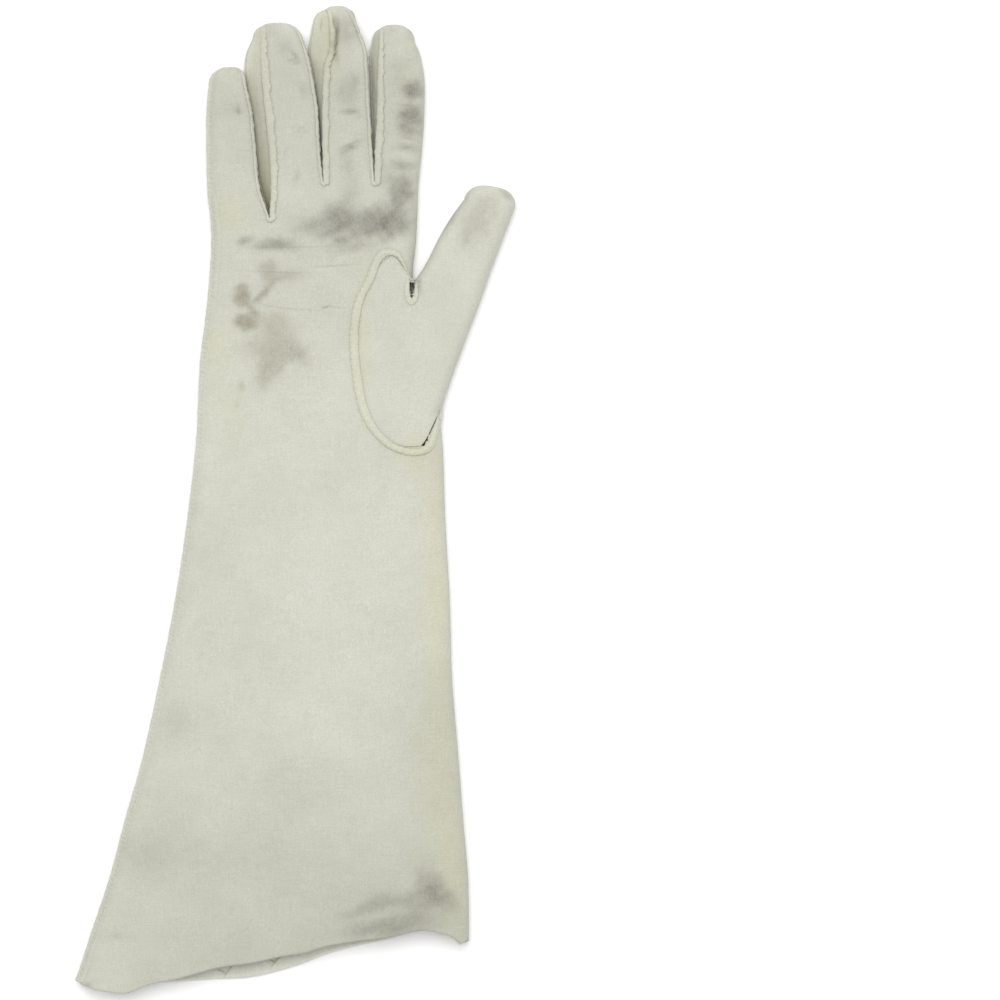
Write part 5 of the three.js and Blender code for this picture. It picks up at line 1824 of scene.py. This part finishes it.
class GroupMaker:
    """Makes the shared node groups, and uses them by name."""

    def _start(
        self, name: str, inputs: dict[str, object], outputs: tuple[str, ...]
    ) -> tuple[Graph, Node, Node]:
        """Starts a group with named sockets.

        Args:
            name: the group's name.
            inputs: constants by name: a tuple of three is a vector, a number is a number.
            outputs: names of its numbers.

        Returns:
            Its graph, its inputs' node and its outputs' node.
        """
        tree = bpy.data.node_groups.new(name, "ShaderNodeTree")
        for title, value in inputs.items():
            kind = "NodeSocketVector" if isinstance(value, tuple) else "NodeSocketFloat"
            socket = tree.interface.new_socket(name=title, in_out="INPUT", socket_type=kind)
            socket.default_value = value
        for title in outputs:
            tree.interface.new_socket(name=title, in_out="OUTPUT", socket_type="NodeSocketFloat")
        graph = Graph(tree)
        return graph, graph.node("NodeGroupInput"), graph.node("NodeGroupOutput")

    def use(self, graph: Graph, name: str, named: dict[str, object]) -> Node:
        """Adds a group to a tree."""
        return graph.node("ShaderNodeGroup", named, node_tree=bpy.data.node_groups[name])

    def weave(self) -> None:
        """Plain weave: two sines at right angles multiplied, with threads of uneven thickness."""
        inputs = {"Vector": ORIGIN, "Pitch": 0.0005}
        graph, given, result = self._start("cotton_weave", inputs, ("Height", "Streak"))
        place, pitch = given.outputs["Vector"], given.outputs["Pitch"]
        turns = graph.math("DIVIDE", 2 * np.pi, pitch)
        waves = [graph.math("SINE", graph.math("MULTIPLY", part, turns)) for part in graph.apart(place)[:2]]
        height = graph.math("MULTIPLY_ADD", graph.math("MULTIPLY", *waves), 0.5, 0.5)
        stretches = ((120.0, 1500.0, 0.0), (1500.0, 120.0, 0.0))
        stretched = [graph.vector("MULTIPLY", place, stretch).outputs[0] for stretch in stretches]
        streaks = graph.math("ADD", *(graph.noise(drawn, 1.0, 1.0) for drawn in stretched))
        graph.feed(result.inputs["Height"], height)
        graph.feed(result.inputs["Streak"], graph.math("MULTIPLY", streaks, 0.5))

    def mottle(self) -> None:
        """Uneven tone: the mean of noises at three sizes, about 0.5."""
        graph, given, result = self._start("mottle", {"Vector": ORIGIN, "Size": 0.02}, ("Value",))
        total: Socket | float = 0.0
        for share, weight in ((1.0, 0.45), (4.0, 0.33), (17.0, 0.22)):
            scale = graph.math("DIVIDE", share, given.outputs["Size"])
            value = graph.noise(given.outputs["Vector"], scale)
            total = graph.math("MULTIPLY_ADD", value, weight, total)
        graph.feed(result.inputs["Value"], total)

    def patch(self) -> None:
        """One soft oval patch, e to minus the squared distance, added to the mask so far."""
        inputs = {"Vector": ORIGIN, "Centre": ORIGIN, "Turn": ORIGIN, "Reach": (1.0, 1.0, 1.0)}
        graph, given, result = self._start("stain_patch", inputs | {"Strength": 0.5, "Mask": 0.0}, ("Mask",))
        sockets = {"Vector": "Vector", "Location": "Centre", "Rotation": "Turn", "Scale": "Reach"}
        named = {title: given.outputs[source] for title, source in sockets.items()}
        local = graph.node("ShaderNodeMapping", named, vector_type="TEXTURE").outputs[0]
        squared = graph.vector("DOT_PRODUCT", local, local).outputs["Value"]
        fade = graph.math("POWER", float(np.e), graph.math("MULTIPLY", squared, -1.0))
        clear = graph.math("SUBTRACT", 1.0, graph.math("MULTIPLY", fade, given.outputs["Strength"]))
        left = graph.math("MULTIPLY", clear, graph.math("SUBTRACT", 1.0, given.outputs["Mask"]))
        graph.feed(result.inputs["Mask"], graph.math("SUBTRACT", 1.0, left))

    def soil(self) -> None:
        """Breaks up a piece's masks of wear and painted shade with grain and cloud, and adds the palm's fine
        creases, bumped in and darkened as painted shade.
        """
        inputs = {"Vector": ORIGIN, "Wear and shade": ORIGIN, "Dullness": 0.0}
        graph, given, result = self._start("glove_soil", inputs, tuple(kind.value for kind in Soil))
        place = given.outputs["Vector"]
        flat = graph.vector("MULTIPLY", place, (1.0, 1.0, 0.0)).outputs[0]
        upper = graph.span(graph.apart(place)[2], *UPPER_SPAN, 0.0, 1.0)
        grain = graph.noise(graph.vector("MULTIPLY", flat, (1.0, 0.45, 0.0)).outputs[0], 1500.0)
        cloud = graph.noise(flat, 260.0, 3.0, 0.6)
        broken = graph.math("MULTIPLY", graph.span(grain, 0.25, 0.75, 0.86, 1.14), upper)
        broken = graph.math("MULTIPLY", broken, graph.span(cloud, 0.3, 0.7, 0.92, 1.30))
        grey_stain_and_shade, warm, yellow = graph.apart(given.outputs["Wear and shade"])
        crease_and_shade: Socket | float = 0.0
        for patch in (Oval(*row) for row in PATCHES[Soil.CREASE]):
            named = {
                "Vector": flat,
                "Centre": (patch.x * MM, patch.y * MM, 0.0),
                "Turn": (0.0, 0.0, float(np.radians(patch.turn))),
                "Reach": (patch.reach_x * MM, patch.reach_y * MM, 1.0),
                "Strength": patch.strength,
                "Mask": crease_and_shade,
            }
            crease_and_shade = self.use(graph, "stain_patch", named).outputs["Mask"]
        dull = given.outputs["Dullness"]
        masks = ((grey_stain_and_shade, broken), (warm, broken), (yellow, upper), (dull, upper), (crease_and_shade, upper))
        for kind, (mask, part) in zip(Soil, masks):
            graph.feed(result.inputs[kind.value], graph.math("MULTIPLY", mask, part))


@dataclass(frozen=True)
class Finish:
    """One cloth of the glove: its colour, how deep its weave and fuzz are, and its painted shade in creases.

    Depths and the weave's pitch are in millimetres.
    """

    name: str
    colour: Colour
    weave_depth: float = 0.018
    pitch: float = 0.45
    fuzz: float = 0.05
    softness: float = 0.10
    puckers: float = 0.0
    crease_depth: float = 0.22
    crease_shade: float = 0.18
    mottle_size: float = 0.05
    roughness: float = 0.92
    specular: float = 0.22
    sheen: float = 0.10
    sheen_roughness: float = 0.5
    foot_shade_tint: Colour | None = None
    mapped: bool = True

    def material(self, groups: GroupMaker) -> bpy.types.Material:
        """Makes the material: mottled colour with stains and painted shade, woven and fuzzy bump, and a soft
        sheen.

        Args:
            groups: the shared node groups.

        Returns:
            The material.
        """
        made = bpy.data.materials.new(self.name)
        made.use_nodes = True
        graph = Graph(made.node_tree)
        place = graph.node("ShaderNodeTexCoord").outputs["Object"]
        flat = graph.node("ShaderNodeUVMap", uv_map="cloth_map").outputs[0] if self.mapped else place
        weave = groups.use(graph, "cotton_weave", {"Vector": flat, "Pitch": self.pitch * MM})
        tone = groups.use(graph, "mottle", {"Vector": place, "Size": self.mottle_size}).outputs[0]
        wear_and_shade = graph.node("ShaderNodeAttribute", attribute_name="wear_and_shade").outputs["Vector"]
        dull = graph.node("ShaderNodeAttribute", attribute_name="dullness").outputs["Fac"]
        soil = groups.use(graph, "glove_soil", {"Vector": place, "Wear and shade": wear_and_shade, "Dullness": dull})
        colour = graph.node("ShaderNodeRGB").outputs[0]
        colour.default_value = (*self.colour, 1.0)
        colour = graph.tint(colour, MOTTLE_TINT, graph.span(tone, 0.32, 0.68, 1.0, 0.0))
        streak = graph.span(weave.outputs["Streak"], 0.35, 0.65, 1.0, 0.0)
        colour = graph.tint(colour, STREAK_TINT, streak)
        grain = graph.noise(place, 1900.0, 1.0)
        colour = graph.tint(colour, GRAIN_TINT, graph.span(grain, 0.3, 0.7, 1.0, 0.0))
        # Painted shade: darker towards the foot of each gap between the fingers.
        if self.foot_shade_tint:
            foot_shade_part = graph.span(graph.apart(place)[1], *FOOT_SHADE_SPAN, 1.0, 0.0)
            colour = graph.tint(colour, self.foot_shade_tint, foot_shade_part)
        for kind, tint in TINTS.items():
            colour = graph.tint(colour, tint, soil.outputs[kind.value])
        # Painted shade: the colour darkens where the ambient occlusion node finds the cloth shut in, in
        # creases and beside seams.
        if self.crease_shade:
            shut = graph.node("ShaderNodeAmbientOcclusion", {"Distance": 0.0016}, samples=4)
            crease_shade_mask = graph.span(shut.outputs["AO"], 0.35, 0.95, self.crease_shade, 0.0)
            colour = graph.tint(colour, CREASE_SHADE_TINT, crease_shade_mask)
        look = {
            "Base Color": colour,
            "Normal": self._bump(graph, place, weave, soil),
            "Roughness": self.roughness,
            "Specular IOR Level": self.specular,
            "Sheen Weight": self.sheen,
            "Sheen Roughness": self.sheen_roughness,
        }
        for title, value in look.items():
            graph.feed(made.node_tree.nodes["Principled BSDF"].inputs[title], value)
        return made

    def _bump(self, graph: Graph, place: Socket, weave: Node, soil: Node) -> Socket:
        """Normals of the weave, fuzz, puckers and creases.

        Args:
            graph: the material's graph.
            place: Object coordinates.
            weave: the weave's group.
            soil: the soil's group.

        Returns:
            The normals.
        """
        height = graph.math("MULTIPLY", weave.outputs["Height"], self.weave_depth)
        depths = (self.fuzz, self.softness, self.puckers)
        for depth, (scale, detail, rough) in zip(depths, BUMP_NOISES):
            if depth:
                noise = graph.noise(place, scale, detail, rough)
                height = graph.math("MULTIPLY_ADD", noise, depth, height)
        height = graph.math("MULTIPLY_ADD", soil.outputs[Soil.CREASE.value], -self.crease_depth, height)
        return graph.node("ShaderNodeBump", {"Height": height, "Distance": MM, "Strength": 1.0}).outputs[0]


@dataclass
class Studio:
    """The pale floor, the soft light and the camera over the middle of the picture."""

    centre: Pair = (0.0822, -0.0004)
    span: float = 0.4
    lens: float = 200.0
    sensor: float = 36.0
    glove_height: float = 0.006
    floor_size: float = 6.0
    floor_drop: float = 0.0003
    floor_tone: float = 0.95
    light_size: float = 2.2
    light_power: float = 57.0
    light_place: tuple[float, float, float] = (-0.15, 1.0, 2.8)
    room_light: float = 0.74

    def build(self) -> None:
        """Builds the floor, the light, the room and the camera."""
        scene = bpy.context.scene
        bpy.ops.mesh.primitive_plane_add(size=self.floor_size, location=(0, 0, -self.floor_drop))
        floor = bpy.context.object
        floor.name = "floor"
        white = bpy.data.materials.new("floor_white")
        white.use_nodes = True
        shader = white.node_tree.nodes["Principled BSDF"]
        shader.inputs["Base Color"].default_value = (*[self.floor_tone] * 3, 1.0)
        shader.inputs["Roughness"].default_value = 0.95
        shader.inputs["Specular IOR Level"].default_value = 0.0
        floor.data.materials.append(white)
        key_data = bpy.data.lights.new("key", "AREA")
        key_data.size = self.light_size
        key_data.energy = self.light_power
        key = bpy.data.objects.new("key", key_data)
        key.location = self.light_place
        key.rotation_euler = (-key.location).to_track_quat("-Z", "Y").to_euler()
        scene.collection.objects.link(key)
        world = bpy.data.worlds.new("white_room")
        world.use_nodes = True
        sky = world.node_tree.nodes["Background"].inputs
        sky["Color"].default_value = (1, 1, 1, 1)
        sky["Strength"].default_value = self.room_light
        scene.world = world
        camera_data = bpy.data.cameras.new("camera")
        camera_data.lens = self.lens
        camera_data.sensor_width = self.sensor
        camera_data.clip_end = 20.0
        camera = bpy.data.objects.new("camera", camera_data)
        camera.location = (*self.centre, self.span * self.lens / self.sensor + self.glove_height)
        scene.collection.objects.link(camera)
        scene.camera = camera
        scene.view_settings.view_transform = "Standard"


# Rows of y, width and height of the raised seam on each finger's left.
WIDE_SEAMS: dict[str, Rows] = {
    "ring": ((112, 2.8, 0.9), (125, 3.3, 0.9), (150, 3.5, 0.9), (172, 3.4, 0.9), (190, 2.2, 0.9)),
    "middle": ((127, 2.6, 0.9), (165, 2.8, 1.0), (176, 2.8, 1.5), (190, 2.8, 1.9), (198, 1.8, 1.4)),
    "index": ((127, 2.6, 0.9), (145, 3.2, 0.9), (165, 2.7, 0.9), (190, 1.8, 0.8)),
}
FINISHES = (
    Finish("cotton", (0.611, 0.615, 0.541)),
    # The turned-in hem is the same cotton, made lighter as painted light against the shade inside the mouth.
    Finish("hem_cotton_lightened", (0.735, 0.735, 0.665), puckers=0.10, crease_shade=0.0),
    Finish("seam_cotton", (0.632, 0.638, 0.546), puckers=0.26, crease_shade=0.30),
    Finish("edge_cotton", (0.621, 0.626, 0.551), puckers=0.2, crease_shade=0.08),
    # The gussets are the same cotton, made a little lighter as painted light against the shade between the
    # fingers.
    Finish("gusset_cotton", (0.63, 0.627, 0.535), puckers=0.15, crease_shade=0.0, foot_shade_tint=GAP_FOOT_SHADE_TINT),
    Finish("thread", (0.657, 0.662, 0.583), mapped=False, crease_shade=0.0),
)


def dress(made: Piece, material: bpy.types.Material, node: str | None = None) -> None:
    """Gives a piece its material, its masks and its body, and hides the plain piece that it stands for.

    Args:
        made: the piece.
        material: its finish.
        node: the solid that it replaces.
    """
    made.data.materials.clear()
    made.data.materials.append(material)
    mark_wear_and_shade(made)
    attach(made, "root")
    if node is not None:
        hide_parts(node)
    LOG.info("%s: %d faces", made.name, len(made.data.polygons))


def main() -> None:
    """Builds the glove piece by piece, then the room."""
    logging.basicConfig(level=logging.INFO, format="%(message)s")
    hand, thumb = HandShape(), ThumbShape()
    groups = GroupMaker()
    for make_group in (groups.weave, groups.mottle, groups.patch, groups.soil):
        make_group()
    cloth, lightened_lining, seam, edge, gusset, thread_look = (finish.material(groups) for finish in FINISHES)

    trank = HandCloth(hand, FINGERS, thumb)
    body = trank.build()
    dress(body, cloth, "trank")
    turnup = Hem(trank)
    hem = turnup.build()
    dress(hem, lightened_lining, "hem")
    dress(HemStitches(turnup).build(), thread_look)
    thumb_cloth = ThumbCloth(hand, thumb)
    tube = thumb_cloth.build()
    dress(tube, cloth, "thumb")
    band, thread = ThumbSeam(hand, thumb_cloth).build()
    dress(band, seam, "thumb_seam")
    dress(thread, thread_look)
    dress(QuirkSeam(hand, thumb_cloth).build(), seam, "quirk_seam")
    paths = []
    for left, right in zip(FINGERS[:-1], FINGERS[1:]):
        gap = Gap(hand, left, right, WIDE_SEAMS[right.name])
        strip = gap.fourchette()
        dress(strip, gusset, f"fourchette_{gap.name}")
        raised, stitches = gap.palm_seam()
        paths.append(stitches)
        dress(raised, seam, f"palm_seam_{gap.name}")
        dress(gap.back_seam(), seam, f"back_seam_{gap.name}")
    stitched = threads("finger_seam_stitches", np.concatenate(paths), Gap.style.radius)
    dress(stitched, thread_look)
    side, whip = SideSeam(hand, FINGERS[0]).build()
    dress(side, edge, "side_seam")
    dress(whip, thread_look)
    Studio().build()


if __name__ == "__main__":
    main()
